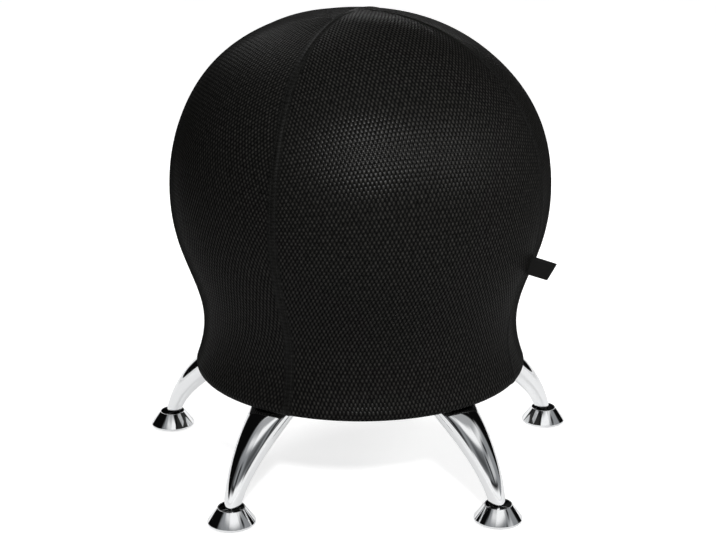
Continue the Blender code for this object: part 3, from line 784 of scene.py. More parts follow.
def drilled(bm, radius, reach, place):
    """Mesh work with a round hole through it."""
    solid = bpy.data.meshes.new("undrilled")
    bm.to_mesh(solid)
    bm.free()
    drill_work = turned([Vector((0, reach)), Vector((radius, reach)), Vector((radius, -reach)),
                         Vector((0, -reach))], 32)
    bmesh.ops.transform(drill_work, matrix=place, verts=drill_work.verts)
    bmesh.ops.recalc_face_normals(drill_work, faces=drill_work.faces)
    bit = bpy.data.meshes.new("drill")
    drill_work.to_mesh(bit)
    drill_work.free()
    work = [bpy.data.objects.new(mesh.name, mesh) for mesh in (solid, bit)]
    for obj in work:
        bpy.context.scene.collection.objects.link(obj)
    boolean = work[0].modifiers.new("drill", "BOOLEAN")
    boolean.object = work[1]
    boolean.solver = "EXACT"
    evaluated = work[0].evaluated_get(bpy.context.evaluated_depsgraph_get())
    result = bmesh.new()
    result.from_mesh(evaluated.to_mesh())
    for obj in work:
        bpy.data.objects.remove(obj)
    return result


class STOOL_OT_ball(Operator):
    """Blow the ball's thin shell, drill its valve and put in the plug"""
    bl_idname = "stool.ball"
    bl_label = "Ball and plug"

    def execute(self, context):
        cover = context.scene.stool.cover
        trim = context.scene.stool.trim
        patch_turn = math.asin(cover.belly / belly_axis(cover))
        outer = ball_points(cover, patch_turn, 44) + [Vector((0, BALL_LOW.z))]
        shell = turned(outer, BALL_SIDES)
        inner = offset_out(outer[:-1], -cover.ball_wall) + [Vector((0, BALL_LOW.z + cover.ball_wall))]
        skin(shell, [ring(shell, point.x, point.y, BALL_SIDES) for point in inner], True)
        bmesh.ops.transform(shell, matrix=AT_AXIS, verts=shell.verts)
        bmesh.ops.recalc_face_normals(shell, faces=shell.faces)
        place = valve_place(cover, trim)
        shell = drilled(shell, trim.valve_radius, trim.plug_stem, place)
        settle(shell, cover)
        ball = make_piece("ball_shell", shell, ribbed_pvc_skin(trim), Matrix())
        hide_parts("ball")
        stretch_between(ball)
        head = trim.plug_head
        stem = trim.valve_radius - AIR
        top = AIR + trim.plug_cap
        dish = top - 0.0004
        outline = rounded([(0, dish, 0), (head * 0.55, dish, 0.0006), (head * 0.66, top, 0.0005),
                           (head, top, 0.0009), (head, AIR, 0.0004), (stem, AIR, 0.0003),
                           (stem, -trim.plug_stem, 0.0012), (0, -trim.plug_stem, 0)])
        plug = make_piece("ball_plug", turned(outline, PIN_SIDES), moulded_polyethylene(trim),
                          place)
        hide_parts("valve_plug")
        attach(plug, "plug")
        return {"FINISHED"}


# Base and legs

def leg_places():
    """Turn of each leg about the stool's axis, and the middle of its foot."""
    places = []
    for index in range(1, 6):
        low, high = (Vector(corner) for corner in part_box(f"foot_bell_{index}"))
        foot = (low + high) / 2 - AXIS
        places.append((index, math.atan2(foot.x, -foot.y), Vector((foot.x, foot.y)).length))
    return places


def leg_top(cover, legs):
    """Height of the horns' mouths, just under the plates."""
    return BOARD_LOW.z - AIR - max(legs.plate, cover.fabric) - AIR


def leg_directions(legs):
    """Directions up the leg's lower end and out from it, as (radius, height)."""
    up = Vector((-math.sin(legs.lean), math.cos(legs.lean)))
    return up, Vector((up.y, -up.x))


def horn_sections(cover, legs, feet, foot_circle):
    """Outer and inner edge of the horn with its half width, from the mouth to the end."""
    up, out = leg_directions(legs)
    end = Vector((foot_circle, feet.pivot)) + up * feet.stud_lift
    shoulder = Vector((cover.board_radius - legs.inset, leg_top(cover, legs)))
    heel = shoulder - Vector((legs.mouth_length, 0))
    heel_way = Vector((math.cos(legs.heel_fall), -math.sin(legs.heel_fall)))
    shin = end + out * legs.end_radius
    calf = end - out * legs.end_radius
    outer = interpolate_bezier(shoulder, shoulder + Vector((legs.shoulder_pull, 0)),
                               shin + up * legs.shin_pull, shin, HORN_STEPS + 1)
    inner = interpolate_bezier(heel, heel + heel_way * legs.heel_pull,
                               calf + up * legs.calf_pull, calf, HORN_STEPS + 1)
    sections = []
    for share, first, second in zip(shares(HORN_STEPS), outer, inner):
        half_width = legs.mouth_width / 2 + (legs.end_radius - legs.mouth_width / 2) * share
        sections.append((first, second, half_width))
    return sections, end


def section_ring(bm, first, second, half_width, wall, steps=72):
    """Ellipse of vertices between two edge points, drawn in by a wall."""
    middle = (first + second) / 2
    half = (first - second) / 2
    half -= half.normalized() * wall
    vertices = []
    for turn in turns(steps):
        point = middle + half * math.sin(turn)
        vertices.append(bm.verts.new(((half_width - wall) * math.cos(turn), -point.x, point.y)))
    return vertices


def draw_horn(cover, legs, feet, foot_circle):
    """Horn drawn from sheet: open mouth, hollow upper part, rounded end with the stud's bore."""
    sections, end = horn_sections(cover, legs, feet, foot_circle)
    up, out = leg_directions(legs)
    bm = bmesh.new()
    hollow = sections[:round(HORN_STEPS * legs.hollow)]
    floor = (hollow[-1][0] + hollow[-1][1]) / 2
    rows = [[bm.verts.new((0, -floor.x, floor.y))]]
    rows += [section_ring(bm, *section, legs.wall) for section in reversed(hollow)]
    rows.append(section_ring(bm, *sections[0], legs.wall * 0.25))
    rows += [section_ring(bm, *section, 0) for section in sections[1:-1]]
    for share in shares(5):
        turn = share * math.pi / 2
        centre = end + up * legs.end_round * (1 - math.sin(turn))
        reach = out * (legs.end_radius - legs.end_round * (1 - math.cos(turn)))
        rows.append(section_ring(bm, centre + reach, centre - reach, reach.length, 0))
    bore = out * (feet.stud_thread + AIR)
    deep = end + up * (feet.stud_depth + AIR)
    for centre in (end, deep):
        rows.append(section_ring(bm, centre + bore, centre - bore, bore.length, 0))
    rows.append([bm.verts.new((0, -deep.x, deep.y))])
    skin(bm, rows, True)
    return bm


def weld_bead(cover, legs, feet, foot_circle, plate_outer):
    """Rippled bead where the horn's mouth runs under its plate."""
    first, second, half_width = horn_sections(cover, legs, feet, foot_circle)[0][0]
    middle = (first.x + second.x) / 2
    # The bead lies half on the horn and half on the plate
    half = (first.x - second.x) / 2 + legs.weld * 0.45
    half_width += legs.weld * 0.45
    height = leg_top(cover, legs) - legs.weld * 0.35
    sweep = math.acos(min(1.0, max(-1.0, (middle - plate_outer + legs.weld) / half)))
    up = Vector((0, 0, 1))
    bm = bmesh.new()
    rows = []
    for step in range(BEAD_STEPS + 1):
        turn = sweep * (2 * step / BEAD_STEPS - 1)
        way = Vector((half_width * math.sin(turn), -middle + half * math.cos(turn), height))
        out = Vector((math.sin(turn) / half_width, math.cos(turn) / half, 0)).normalized()
        ripple = 0.86 + 0.14 * math.cos(step * 1.9)
        radius = legs.weld * ripple * smooth(-1, 6, min(step, BEAD_STEPS - step))
        rows.append([bm.verts.new(way + (out * math.cos(side) + up * math.sin(side)) * radius)
                     for side in turns(8)])
    skin(bm, rows, True)
    bm.faces.new(rows[0])
    bm.faces.new(rows[-1])
    return bm


def soften(node, width, material):
    """Carried-over solid with eased edges and its own finish."""
    solid = bpy.data.objects[node]
    weld = solid.modifiers.new("weld", "WELD")
    weld.merge_threshold = WELD_APART
    ease = solid.modifiers.new("eased edges", "BEVEL")
    ease.width = width
    ease.segments = 2
    ease.limit_method = "ANGLE"
    ease.angle_limit = math.radians(SHARP_DEG)
    for material_slot in solid.material_slots:
        material_slot.material = material


def turn_bolt(legs, face, end):
    """Button-head bolt with a hexagon socket, head down, from its face up to its end."""
    head = legs.bolt_head
    tall = legs.bolt_head_height
    seat = face + tall
    outline = rounded([(0, end, 0), (legs.bolt, end, 0.0007), (legs.bolt, seat, 0.0003),
                       (head, seat, 0.0004), (head, face + tall * 0.62, 0.0006),
                       (head - tall * 0.5, face, 0.0007), (legs.bolt_socket * 1.25, face, 0)])
    bm = bmesh.new()
    rows = [ring(bm, point.x, point.y, PIN_SIDES) for point in outline]
    for deep in (0.0002, 0.0020):
        rows.append(ring(bm, legs.bolt_socket, face + deep, PIN_SIDES, hexagon=True))
    rows.append(ring(bm, 0, face + 0.0025, PIN_SIDES))
    skin(bm, rows, True)
    return bm


class STOOL_OT_base(Operator):
    """Paint the board, plate the mounting plates and tee nuts, and turn the bolts"""
    bl_idname = "stool.base"
    bl_label = "Board, plates and bolts"

    def execute(self, context):
        stool = context.scene.stool
        legs = stool.legs
        paint = painted_birch_plywood(stool.trim)
        for material_slot in bpy.data.objects["base_board"].material_slots:
            material_slot.material = paint
        chrome = shared(bright_chrome_on_steel, legs)
        zinc = shared(barrel_zinc_on_steel, legs)
        for index in range(1, 6):
            soften(f"leg_plate_{index}", PLATE_EASE, chrome)
            for mark in "ab":
                soften(f"leg_{index}_tee_nut_{mark}", NUT_EASE, zinc)
                node = f"leg_{index}_bolt_{mark}"
                low, high = (Vector(corner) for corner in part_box(node))
                middle = (low + high) / 2
                bolt = make_piece(f"button_bolt_{index}_{mark}", turn_bolt(legs, low.z, high.z), zinc,
                                  Matrix.Translation((middle.x, middle.y, 0)))
                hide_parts(node)
                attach(bolt, "base")
        return {"FINISHED"}


class STOOL_OT_legs(Operator):
    """Draw the chrome horn legs and weld them to their plates"""
    bl_idname = "stool.legs"
    bl_label = "Legs"

    def execute(self, context):
        stool = context.scene.stool
        shape = (stool.cover, stool.legs, stool.feet)
        chrome = shared(bright_chrome_on_steel, stool.legs)
        # Leg 4 stands straight behind, so its plate's box gives how far out all five reach
        plate_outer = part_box("leg_plate_4")[1][1] - AXIS.y
        for index, turn, circle in leg_places():
            place = AT_AXIS @ Matrix.Rotation(turn, 4, "Z")
            horn = make_piece(f"horn_{index}", draw_horn(*shape, circle), chrome, place)
            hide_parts(f"leg_{index}")
            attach(horn, "base")
            bm = weld_bead(*shape, circle, plate_outer)
            bead = make_piece(f"plate_weld_{index}", bm, chrome, place)
            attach(bead, "base")
        return {"FINISHED"}


# Feet

def bell_outline(feet):
    """Thin bell with an upright lip and an open top."""
    inner = feet.radius - feet.wall
    return rounded([(feet.top, feet.height, 0.00055), (feet.radius, feet.lip, 0.0005),
                    (feet.radius, feet.lift, 0.0004), (inner, feet.lift, 0.0003), (inner, feet.lip, 0.0005),
                    (feet.top - feet.wall, feet.height, 0.00055)])


def pad_outline(feet):
    """Pad with the socket for the stud's ball in its boss."""
    socket = feet.stud_ball + AIR
    mouth = math.degrees(math.asin(feet.socket_hold / socket))
    cup = arc(Vector((0, feet.pivot)), socket, -90, mouth, 14)
    boss = socket + feet.socket_wall
    rim = feet.radius - feet.wall - AIR
    outside = rounded([(cup[-1].x, cup[-1].y, 0), (boss, feet.pivot + feet.socket_hold, 0.0006),
                       (boss, feet.pad, 0.0010), (rim, feet.pad, 0.0004), (rim, 0, 0.0006), (0, 0, 0)])
    cup[0].x = 0
    return cup + outside[1:]


def stud_outline(feet):
    """Stud about its ball's centre, thread up."""
    end = feet.stud_lift + feet.stud_depth
    neck = math.degrees(math.acos(feet.stud_neck / feet.stud_ball))
    ball = arc(Vector((0, 0)), feet.stud_ball, neck, -90, 18)
    ball[-1].x = 0
    shank = rounded([(0, end, 0), (feet.stud_thread, end, 0.0008),
                     (feet.stud_thread, feet.stud_lift, 0.0004), (feet.stud_neck, feet.stud_lift, 0.0004),
                     (ball[0].x, ball[0].y, 0)])
    return shank + ball[1:]


class STOOL_OT_feet(Operator):
    """Spin the bells, mould the pads and turn the ball studs"""
    bl_idname = "stool.feet"
    bl_label = "Feet"

    def execute(self, context):
        stool = context.scene.stool
        feet = stool.feet
        chrome = shared(bright_chrome_on_steel, stool.legs)
        zinc = shared(barrel_zinc_on_steel, stool.legs)
        nylon = moulded_nylon(feet)
        for index, turn, circle in leg_places():
            place = AT_AXIS @ Matrix.Rotation(turn, 4, "Z") @ Matrix.Translation((0, -circle, 0))
            bell = make_piece(f"bell_{index}", turned(bell_outline(feet), BELL_SIDES, closed=True), chrome,
                              place)
            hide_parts(f"foot_bell_{index}")
            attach(bell, f"foot_{index}")
            pad = make_piece(f"pad_{index}", turned(pad_outline(feet), PAD_SIDES), nylon, place)
            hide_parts(f"foot_pad_{index}")
            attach(pad, f"foot_{index}")
            lean = Matrix.Translation((0, 0, feet.pivot)) @ Matrix.Rotation(-stool.legs.lean, 4, "X")
            stud = make_piece(f"stud_{index}", turned(stud_outline(feet), PIN_SIDES), zinc,
                              place @ lean)
            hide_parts(f"ball_stud_{index}")
            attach(stud, "base")
        return {"FINISHED"}


# Finishes

def add_node(tree, kind, inputs, **settings):
    """Shader node with its settings; an input takes a value, a socket, or a node for its first socket."""
    node = tree.nodes.new("ShaderNode" + kind)
    for name, value in settings.items():
        setattr(node, name, value)
    for socket, value in inputs.items():
        if isinstance(value, bpy.types.Node):
            value = value.outputs[0]
        if isinstance(value, bpy.types.NodeSocket):
            tree.links.new(value, node.inputs[socket])
        else:
            node.inputs[socket].default_value = value
    return node


def start_finish(name, **sockets):
    """Material with constant values on its surface's own sockets."""
    material = bpy.data.materials.new(name)
    material.use_nodes = True
    surface = material.node_tree.nodes["Principled BSDF"]
    for socket, value in sockets.items():
        surface.inputs[socket.replace("_", " ")].default_value = value
    return material, material.node_tree, surface


def wire(surface, **nodes):
    """Links from the first sockets of nodes to the surface's own sockets."""
    for socket, node in nodes.items():
        surface.id_data.links.new(node.outputs[0], surface.inputs[socket.replace("_", " ")])


def shared(finish, settings):
    """Finish that several pieces have, made once; its material has the function's name."""
    return bpy.data.materials.get(finish.__name__) or finish(settings)


def mottle(tree, colour, pattern, low, high):
    """Colour that a pattern darkens and lightens, between two shares of its value."""
    value = add_node(tree, "MapRange", {"Value": pattern, "To Min": low, "To Max": high})
    return add_node(tree, "HueSaturation", {"Color": colour, "Value": value})


def warp_knitted_spacer_mesh(cover):
    """Polyester spacer mesh, warp-knitted: open oval holes in staggered rows between ribs of dull yarn."""
    material, tree, surface = start_finish("warp_knitted_spacer_mesh", Specular_IOR_Level=0.075,
                                           Anisotropic=0.5)
    # Yarn that runs along the rows spreads a highlight along them
    rows = add_node(tree, "Tangent", {}, direction_type="UV_MAP", uv_map="cloth")
    cloth = add_node(tree, "UVMap", {}, uv_map="cloth")
    # Loops are knitted up to half a millimetre out of line, over some 14 mm
    uneven = add_node(tree, "TexNoise", {"Vector": cloth, "Scale": 1 / 0.014})
    knitted = add_node(tree, "VectorMath", {0: uneven.outputs["Color"], 1: (0.0018, 0.0018, 0.0),
                                            2: cloth}, operation="MULTIPLY_ADD")
    flat = add_node(tree, "SeparateXYZ", {0: knitted})
    waves = []
    for axis, spacing in (("X", cover.hole_across), ("Y", cover.hole_along)):
        phase = add_node(tree, "Math", {0: flat.outputs[axis], 1: FULL_TURN / spacing},
                         operation="MULTIPLY")
        waves.append(add_node(tree, "Math", {0: phase}, operation="COSINE"))
    # Beside a seam the allowance lies behind the mesh and closes its holes
    mesh_open = add_node(tree, "Attribute", {}, attribute_name="mesh_open")
    across = add_node(tree, "Math", {0: waves[0], 1: mesh_open.outputs["Fac"]}, operation="MULTIPLY")
    cell = add_node(tree, "Math", {0: across, 1: waves[1]}, operation="MULTIPLY")
    shade = add_node(tree, "MapRange", {"Value": cell, "From Min": -1.0, "From Max": 1.0})
    # Ramp from the painted highlight of the knots through the yarn colour to the holes, which are painted
    # near-black: the black backing seen through them, darkened as painted shade
    ramp = add_node(tree, "ValToRGB", {"Fac": shade})
    ramp.color_ramp.elements[0].position = 0.10
    ramp.color_ramp.elements[0].color = cover.knot
    ramp.color_ramp.elements[1].position = 0.52
    ramp.color_ramp.elements[1].color = cover.yarn
    dark = ramp.color_ramp.elements.new(0.70)
    dark.color = cover.hole
    # Filaments lie differently from loop to loop, 6 mm apart, so some catch more light: painted sparkle that
    # lightens and darkens the yarn colour at random
    painted_sparkle = add_node(tree, "TexNoise", {"Vector": cloth, "Scale": 1 / 0.006, "Detail": 2.0})
    value = add_node(tree, "MapRange", {"Value": painted_sparkle, "From Min": 0.25, "From Max": 0.75,
                                        "To Min": 0.45, "To Max": 1.55})
    # The yarn sinks between two rows, and there the colour is painted darker as painted shade; the same
    # value raises the rows in the bump
    crest = add_node(tree, "Math", {0: waves[1], 1: 2.0}, operation="POWER")
    row_rise_and_groove_shade = add_node(tree, "MapRange", {"Value": crest, "To Min": 0.58, "To Max": 1.0})
    light = add_node(tree, "Math", {0: value, 1: row_rise_and_groove_shade}, operation="MULTIPLY")
    tint = add_node(tree, "HueSaturation", {"Color": ramp, "Value": light})
    # Rows stand up as ridges with ribs between the holes, and knit loops 0.9 mm wide lie on them
    ribs = add_node(tree, "MapRange", {"Value": shade, "From Min": 0.10, "From Max": 0.75,
                                       "To Min": 1.0, "To Max": 0.0}, interpolation_type="SMOOTHSTEP")
    ridge = add_node(tree, "Math", {0: row_rise_and_groove_shade, 1: 1.6, 2: ribs}, operation="MULTIPLY_ADD")
    loops = add_node(tree, "TexNoise", {"Vector": cloth, "Scale": 1 / 0.0009, "Detail": 1.0})
    height = add_node(tree, "Math", {0: loops, 1: 0.25, 2: ridge}, operation="MULTIPLY_ADD")
    bump = add_node(tree, "Bump", {"Height": height, "Strength": 0.30, "Distance": 0.0009})
    # Seen aslant the ribs hide the smooth sides of the yarn, so the gloss fades towards the outline
    slant = add_node(tree, "LayerWeight", {"Blend": 0.5}).outputs["Facing"]
    rough = add_node(tree, "MapRange", {"Value": slant, "From Min": 0.12, "From Max": 0.45,
                                        "To Min": 0.32, "To Max": 0.5}, interpolation_type="SMOOTHSTEP")
    limb = add_node(tree, "MapRange", {"Value": slant, "From Min": 0.56, "From Max": 0.94})
    fuzzy = add_node(tree, "Math", {0: rough, 1: limb}, operation="MAXIMUM")
    # Holes have no gloss
    dull = add_node(tree, "MapRange", {"Value": shade, "From Min": 0.50, "From Max": 0.68})
    gloss = add_node(tree, "Math", {0: fuzzy, 1: dull}, operation="MAXIMUM")
    wire(surface, Base_Color=tint, Roughness=gloss, Normal=bump, Tangent=rows)
    return material


def spun_polyester_thread(trim):
    """Spun polyester sewing thread, twisted: dull black with a faint fuzz."""
    material, tree, surface = start_finish("spun_polyester_thread", Roughness=0.7, Specular_IOR_Level=0.2)
    place = add_node(tree, "NewGeometry", {})
    # Twist about 0.5 mm long
    twist = add_node(tree, "TexNoise", {"Vector": place, "Scale": 1 / 0.0005})
    wire(surface, Base_Color=mottle(tree, trim.thread_colour, twist, 0.7, 1.3))
    return material


def woven_polyester_tape(trim):
    """Polyester tape, plain-woven: fine cross ribs on a dull face between darker, tighter selvedges."""
    material, tree, surface = start_finish("woven_polyester_tape", Roughness=0.66, Specular_IOR_Level=0.25)
    tape = add_node(tree, "UVMap", {}, uv_map="tape")
    flat = add_node(tree, "SeparateXYZ", {0: tape})
    edge = add_node(tree, "Math", {0: flat.outputs["Y"]}, operation="ABSOLUTE")
    half = trim.tab_height / 2
    # Selvedges some 2 mm wide
    selvedge = add_node(tree, "MapRange", {"Value": edge, "From Min": half - 0.0024,
                                           "From Max": half - 0.0018})
    # Ribs of the weft, 1.1 mm apart
    rib = add_node(tree, "Math", {0: flat.outputs["X"], 1: FULL_TURN / 0.0011}, operation="MULTIPLY")
    wave = add_node(tree, "Math", {0: rib}, operation="SINE")
    value = add_node(tree, "MapRange", {"Value": wave, "From Min": -1.0, "To Min": 0.75,
                                        "To Max": 1.2})
    mix = add_node(tree, "Mix", {"Factor": selvedge, 6: trim.tape_colour, 7: trim.selvedge_colour},
                   data_type="RGBA")
    tint = add_node(tree, "HueSaturation", {"Color": mix.outputs[2], "Value": value})
    bump = add_node(tree, "Bump", {"Height": wave, "Strength": 0.4, "Distance": 0.0002})
    wire(surface, Base_Color=tint, Normal=bump)
    return material


def braided_elastic(trim):
    """Elastic cord with a braided polyester cover: dull black with a fine diagonal braid."""
    material, tree, surface = start_finish("braided_elastic", Roughness=0.75, Specular_IOR_Level=0.2)
    place = add_node(tree, "NewGeometry", {})
    # Braid strands 1.2 mm wide
    braid = add_node(tree, "TexVoronoi", {"Vector": place, "Scale": 1 / 0.0012})
    value = add_node(tree, "MapRange", {"Value": braid, "To Min": 1.3, "To Max": 0.6})
    tint = add_node(tree, "HueSaturation", {"Color": trim.cord_colour, "Value": value})
    bump = add_node(tree, "Bump", {"Height": value, "Strength": 0.5, "Distance": 0.0003})
    wire(surface, Base_Color=tint, Normal=bump)
    return material


def ribbed_pvc_skin(trim):
    """PVC ball skin, rotation-moulded with level grip ribs: satin grey with a soft bloom."""
    material, tree, surface = start_finish("ribbed_pvc_skin", Roughness=0.46)
    place = add_node(tree, "NewGeometry", {})
    flat = add_node(tree, "SeparateXYZ", {0: place})
    # Grip ribs 11 mm apart, and bloom in patches of some 40 mm
    phase = add_node(tree, "Math", {0: flat.outputs["Z"], 1: FULL_TURN / 0.011}, operation="MULTIPLY")
    ribs = add_node(tree, "Math", {0: phase}, operation="SINE")
    bump = add_node(tree, "Bump", {"Height": ribs, "Strength": 0.4, "Distance": 0.0008})
    bloom = add_node(tree, "TexNoise", {"Vector": place, "Scale": 1 / 0.040, "Detail": 4.0})
    wire(surface, Base_Color=mottle(tree, trim.vinyl_colour, bloom, 0.85, 1.15), Normal=bump)
    return material


def moulded_polyethylene(trim):
    """Polyethylene, injection-moulded: waxy off-white with a fine moulded grain."""
    material, tree, surface = start_finish("moulded_polyethylene", Roughness=0.42, IOR=1.51,
                                           Base_Color=trim.plug_colour)
    place = add_node(tree, "NewGeometry", {})
    # Spark-eroded grain, 0.4 mm
    grain = add_node(tree, "TexNoise", {"Vector": place, "Scale": 1 / 0.0004})
    bump = add_node(tree, "Bump", {"Height": grain, "Strength": 0.2, "Distance": 0.0001})
    wire(surface, Normal=bump)
    return material


def painted_birch_plywood(trim):
    """Birch plywood, sprayed matt black: the grain shows faintly through the paint."""
    material, tree, surface = start_finish("painted_birch_plywood", Specular_IOR_Level=0.35)
    place = add_node(tree, "NewGeometry", {})
    # Grain lines 2.5 mm apart, drawn out to some 55 mm along the board
    drawn_out = add_node(tree, "VectorMath", {0: place, 1: (400.0, 18.0, 400.0)},
                         operation="MULTIPLY")
    grain = add_node(tree, "TexNoise", {"Vector": drawn_out, "Scale": 1.0, "Detail": 3.0})
    rough = add_node(tree, "MapRange", {"Value": grain, "To Min": 0.55, "To Max": 0.7})
    bump = add_node(tree, "Bump", {"Height": grain, "Strength": 0.3, "Distance": 0.0003})
    wire(surface, Base_Color=mottle(tree, trim.paint_colour, grain, 0.8, 1.2), Roughness=rough, Normal=bump)
    return material


def bright_chrome_on_steel(legs):
    """Steel, polished and bright chrome plated: mirror-clear, with a faint polishing wave and haze."""
    material, tree, surface = start_finish("bright_chrome_on_steel", Base_Color=legs.chrome_colour,
                                           Metallic=1.0)
    place = add_node(tree, "NewGeometry", {})
    # Handling haze in patches of some 25 mm
    haze = add_node(tree, "TexNoise", {"Vector": place, "Scale": 1 / 0.025, "Detail": 4.0})
    rough = add_node(tree, "MapRange", {"Value": haze, "From Min": 0.35, "From Max": 0.75,
                                        "To Min": 0.05, "To Max": 0.09})
    # Polishing wave about 9 mm long
    wave = add_node(tree, "TexNoise", {"Vector": place, "Scale": 1 / 0.009})
    bump = add_node(tree, "Bump", {"Height": wave, "Strength": 0.06, "Distance": 0.0003})
    wire(surface, Roughness=rough, Normal=bump)
    return material


def barrel_zinc_on_steel(legs):
    """Steel fasteners, barrel zinc plated: greyish bright metal with small dull tumbling marks."""
    material, tree, surface = start_finish("barrel_zinc_on_steel", Metallic=1.0)
    place = add_node(tree, "NewGeometry", {})
    # Tumbling marks 1.5 mm across
    marks = add_node(tree, "TexNoise", {"Vector": place, "Scale": 1 / 0.0015, "Detail": 3.0})
    rough = add_node(tree, "MapRange", {"Value": marks, "To Min": 0.25, "To Max": 0.42})
    wire(surface, Base_Color=mottle(tree, legs.zinc_colour, marks, 0.8, 1.1), Roughness=rough)
    return material


def moulded_nylon(feet):
    """Nylon, injection-moulded: satin black with a fine grain."""
    material, tree, surface = start_finish("moulded_nylon", Base_Color=feet.nylon_colour, IOR=1.53,
                                           Roughness=0.5)
    place = add_node(tree, "NewGeometry", {})
    # Moulded grain 0.5 mm
    grain = add_node(tree, "TexNoise", {"Vector": place, "Scale": 1 / 0.0005})
    bump = add_node(tree, "Bump", {"Height": grain, "Strength": 0.25, "Distance": 0.0001})
    wire(surface, Normal=bump)
    return material


# Stage

def seen_directly(tree):
    """Node that is 1 for rays from the camera, off metal and through glass, and 0 for other light."""
    path = add_node(tree, "LightPath", {}).outputs
    mirror = add_node(tree, "Math", {0: path["Is Camera Ray"], 1: path["Is Glossy Ray"]},
                      operation="MAXIMUM")
    return add_node(tree, "Math", {0: mirror, 1: path["Is Transmission Ray"]}, operation="MAXIMUM")


def add_backdrop(name, bm, material):
    """Floor or wall from mesh work."""
    mesh = bpy.data.meshes.new(name)
    bm.to_mesh(mesh)
    bm.free()
    mesh.materials.append(material)
    backdrop = bpy.data.objects.new(name, mesh)
    bpy.context.scene.collection.objects.link(backdrop)
    return backdrop


def add_floor(stage):
    """White floor that takes the stool's shadow."""
    material, tree, surface = start_finish("white_studio_floor", Base_Color=stage.floor_shade,
                                           Roughness=0.9, Specular_IOR_Level=0.0, Emission_Color=stage.white)
    place = add_node(tree, "NewGeometry", {})
    away = add_node(tree, "VectorMath", {0: place}, operation="LENGTH")
    # The lamps leave the far floor dim, so its own white grows with the distance from the stool
    white = add_node(tree, "MapRange", {"Value": away.outputs["Value"], "From Min": 0.5,
                                        "From Max": 2.5, "To Min": 0.76, "To Max": 0.98})
    glow = add_node(tree, "Math", {0: seen_directly(tree), 1: white}, operation="MULTIPLY")
    # Metal mirrors the floor darker than the camera sees it
    path = add_node(tree, "LightPath", {})
    mirrored = add_node(tree, "Math", {0: path.outputs["Is Glossy Ray"], 1: -0.36, 2: glow},
                        operation="MULTIPLY_ADD")
    wire(surface, Emission_Strength=mirrored)
    bm = bmesh.new()
    bmesh.ops.create_circle(bm, cap_ends=True, segments=96, radius=FLOOR_RADIUS,
                            matrix=Matrix.Translation((0, 0, -AIR)))
    floor = add_backdrop("studio_floor", bm, material)
    return floor


def add_surround(stage):
    """Dome of the studio's walls, seen only in polished metal: shaded patches with soft edges on white.

    Each patch gives its sides as turns from the front to the right, its lower and upper height, and its
    edge, all in degrees."""
    patches = (
        # Wall in front, the booth behind the camera, and the foot of the wall above the white sweep
        ((-74, 98), (-20, 42), 6, stage.wall_shade), ((-72, -54), (8, 30), 6, stage.booth_shade),
        ((-14, 28), (17, 35), 9, stage.booth_shade), ((-62, 62), (-20, 15), 3, stage.dark_shade),
        ((-62, 62), (-20, 9), 3, stage.white), ((-32, 8), (-20, 14), 3, stage.white),
        # Ceiling with its window, and a pale panel on the right
        ((-64, 88), (48, 70), 7, stage.ceiling_shade), ((-54, 86), (60, 90), 7, stage.ceiling_shade),
        ((-68, -44), (36, 58), 8, stage.wall_shade), ((-12, 42), (40, 54), 4, stage.white),
        ((47, 69), (17, 31), 4, stage.panel_shade),
        # Lamp stands, then black curtains on both sides
        ((-42, -31), (15, 31), 4, stage.dark_shade), ((36, 44), (15, 34), 3, stage.dark_shade),
        ((57, 68), (33, 41), 3, stage.dark_shade),
        ((-137, -67), (-20, 90), 4, stage.flag_shade), ((-137, -62), (36, 90), 5, stage.flag_shade),
        ((96, 137), (-20, 90), 4, stage.flag_shade), ((86, 137), (44, 90), 5, stage.flag_shade))
    bm = bmesh.new()
    glow = bm.verts.layers.float_color.new("glow")
    rows = []
    for height in range(2, 90, 2):
        row = []
        for side in range(-180, 180, 3):
            turn = math.radians(side)
            up = math.radians(height)
            way = Vector((math.sin(turn) * math.cos(up), -math.cos(turn) * math.cos(up), math.sin(up)))
            vertex = bm.verts.new(way * WALL_DISTANCE)
            shade = Vector(stage.white)
            for sides, heights, edge, patch_shade in patches:
                inside = min(side - sides[0], sides[1] - side, height - heights[0], heights[1] - height)
                shade = shade.lerp(Vector(patch_shade), smooth(-edge, edge, inside))
            vertex[glow] = shade
            row.append(vertex)
        rows.append(row)
    skin(bm, rows, True)
    material, tree, surface = start_finish("painted_studio_walls", Base_Color=(0, 0, 0, 1), Roughness=1.0,
                                           Specular_IOR_Level=0.0, Emission_Strength=1.0)
    wire(surface, Emission_Color=add_node(tree, "Attribute", {}, attribute_name="glow"))
    walls = add_backdrop("studio_walls", bm, material)
    walls.visible_camera = False
    walls.visible_diffuse = False
    walls.visible_shadow = False
    walls.visible_transmission = False
    return walls


def add_room(stage):
    """World that is white to the eye and lights the object only a little."""
    world = bpy.data.worlds.new("white_room")
    world.use_nodes = True
    tree = world.node_tree
    back = tree.nodes["Background"]
    back.inputs["Color"].default_value = stage.white
    strength = add_node(tree, "MapRange", {"Value": seen_directly(tree), "To Min": stage.sky,
                                           "To Max": 1.0})
    wire(back, Strength=strength)
    return world


def shut_out(name, starts):
    """Collection of the pieces with such names, which a lamp or a wall then leaves unlit."""
    pieces = bpy.data.collections.new(name)
    for piece in bpy.data.objects:
        if piece.name.startswith(starts):
            pieces.objects.link(piece)
    for entry in pieces.collection_objects:
        entry.light_linking.link_state = "EXCLUDE"
    return pieces


def add_lamp(name, place, target, size, power, unlit):
    """Square softbox that faces a target and leaves a collection of pieces unlit."""
    lamp = bpy.data.lights.new(name, "AREA")
    lamp.shape = "SQUARE"
    lamp.size = size
    lamp.energy = power
    softbox = bpy.data.objects.new(name, lamp)
    bpy.context.scene.collection.objects.link(softbox)
    softbox.location = place
    softbox.rotation_euler = (target - place).to_track_quat("-Z", "Y").to_euler()
    softbox.light_linking.receiver_collection = unlit


